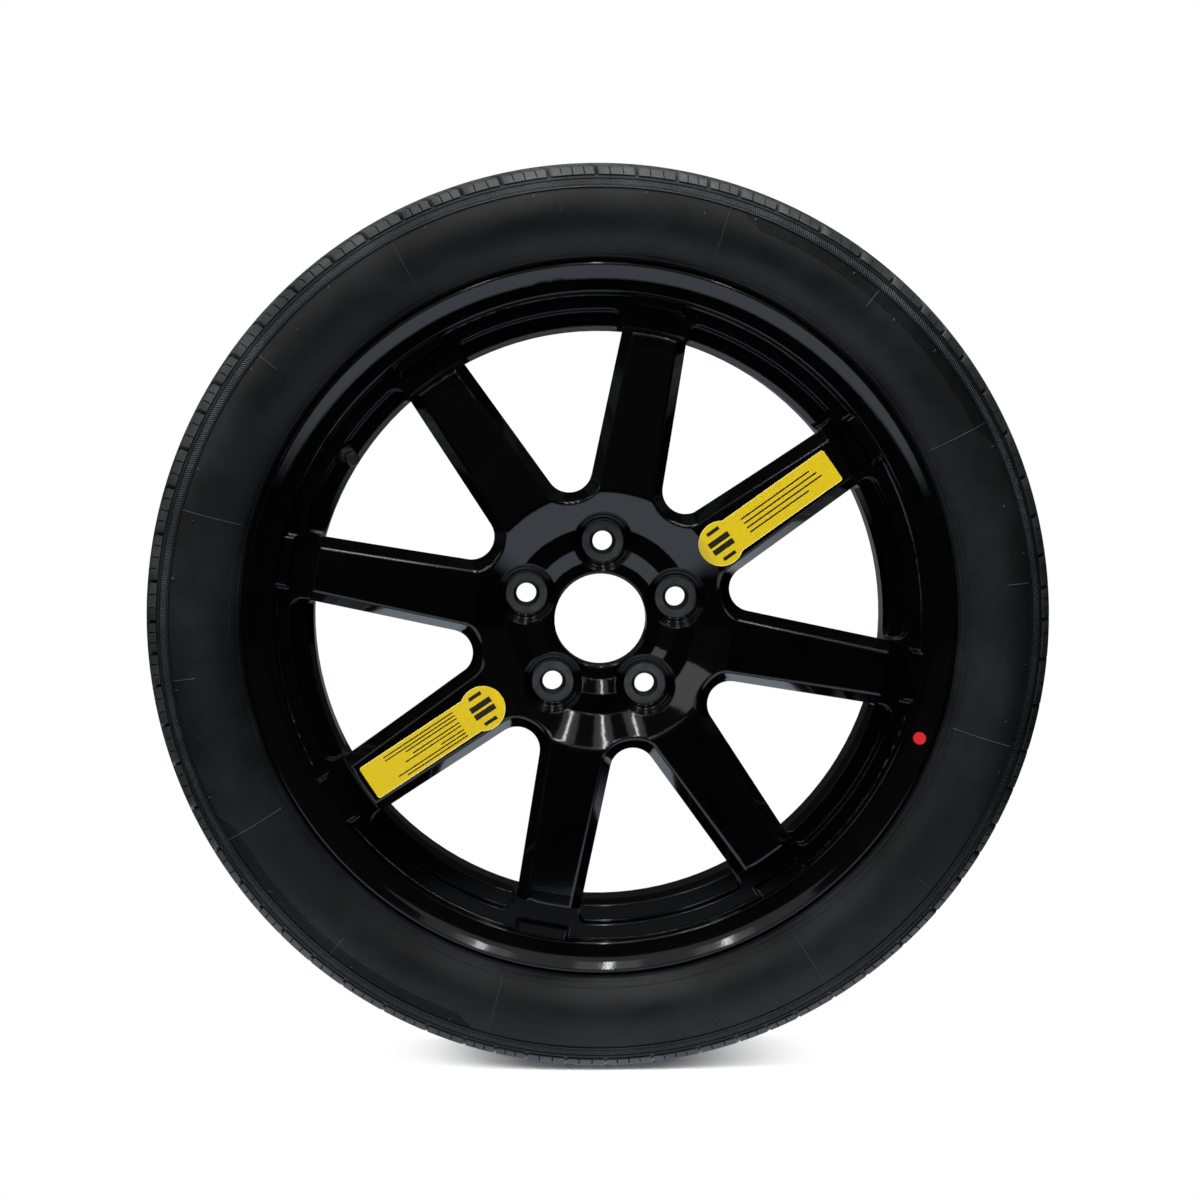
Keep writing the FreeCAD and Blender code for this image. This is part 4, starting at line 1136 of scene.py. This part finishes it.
def floor():
    """Floor under the tyre's foot."""
    z = -FLOOR_DROP * MM
    corners = ((-1, -1), (1, -1), (1, 1), (-1, 1))
    points = [Vector((x * FLOOR_HALF, y * FLOOR_HALF, z)) for x, y in corners]
    mesh = bpy.data.meshes.new("studio_floor")
    mesh.from_pydata(points, [], [(0, 1, 2, 3)])
    mesh.materials.append(floor_material())
    made = bpy.data.objects.new("studio_floor", mesh)
    bpy.context.scene.collection.objects.link(made)


def studio_world():
    """White for the camera, a dim even room for light, and a darker one for reflections."""
    world = bpy.data.worlds.new("studio")
    bpy.context.scene.world = world
    world.use_nodes = True
    tree = world.node_tree
    tree.nodes.clear()
    out = tree.nodes.new("ShaderNodeOutputWorld")
    paths = tree.nodes.new("ShaderNodeLightPath")

    def background(strength):
        made = node(tree, "ShaderNodeBackground", Color=(1, 1, 1, 1), Strength=strength)
        return made.outputs["Background"]

    unseen = mixed(tree, paths.outputs["Is Glossy Ray"], background(ROOM_LIGHT), background(ROOM_SEEN))
    both = mixed(tree, paths.outputs["Is Camera Ray"], unseen, background(1.0))
    tree.links.new(both, out.inputs["Surface"])


def panel(name, at, aim, size, power, mirrored=True):
    """Rectangular lamp that faces a point, with or without its mirror image in gloss."""
    lamp = bpy.data.lights.new(name, "AREA")
    lamp.shape = "RECTANGLE"
    lamp.size, lamp.size_y = size
    lamp.energy = power
    made = bpy.data.objects.new(name, lamp)
    made.location = at
    made.rotation_euler = (Vector(aim) - Vector(at)).to_track_quat("-Z", "Y").to_euler()
    made.visible_glossy = mirrored
    bpy.context.scene.collection.objects.link(made)


def camera():
    """Camera at the photo's place."""
    lens = bpy.data.cameras.new("photo_camera")
    lens.lens = CAMERA_LENS
    lens.sensor_width = CAMERA_SENSOR
    made = bpy.data.objects.new("photo_camera", lens)
    made.location = CAMERA_AT
    aim = Vector(CAMERA_AIM) - Vector(CAMERA_AT)
    made.rotation_euler = aim.to_track_quat("-Z", "Y").to_euler()
    bpy.context.scene.collection.objects.link(made)
    bpy.context.scene.camera = made


floor()
studio_world()
panel("overhead_softbox", (0.0, 0.3, 2.2), WHEEL_CENTRE, (2.0, 1.4), 34.0)
panel("left_softbox", (-1.6, -1.0, 1.2), WHEEL_CENTRE, (0.95, 1.2), 4.4)
panel("front_fill", (-0.6, -2.4, 1.2), WHEEL_CENTRE, (1.5, 1.5), 4.0, mirrored=False)
panel("left_fill", (-1.9, -1.4, 1.4), WHEEL_CENTRE, (1.0, 1.0), 27.0, mirrored=False)
panel("top_fill", (-0.35, -0.75, 2.1), (0.0, 0.0, 0.1), (1.1, 0.9), 58.0, mirrored=False)
panel("lip_panel", (0.0, -1.58, 0.97), (0.0, 0.0, -0.26), (1.6, 0.6), 1.5)
panel("left_edge", (-1.8, 0.15, 0.05), (0.0, 0.0, 0.05), (0.5, 1.6), 2.5)
for strip_x in STRIP_PLACES:
    panel("overhead_strip", (strip_x, -1.05, 1.75), (strip_x, 0.0, 0.0), (0.035, 1.9), 3.6)
    panel("strip_glow", (strip_x, -1.08, 1.78), (strip_x, 0.0, 0.0), (0.3, 1.9), 1.3)
camera()

scene = bpy.context.scene
scene.view_settings.view_transform = "Standard"
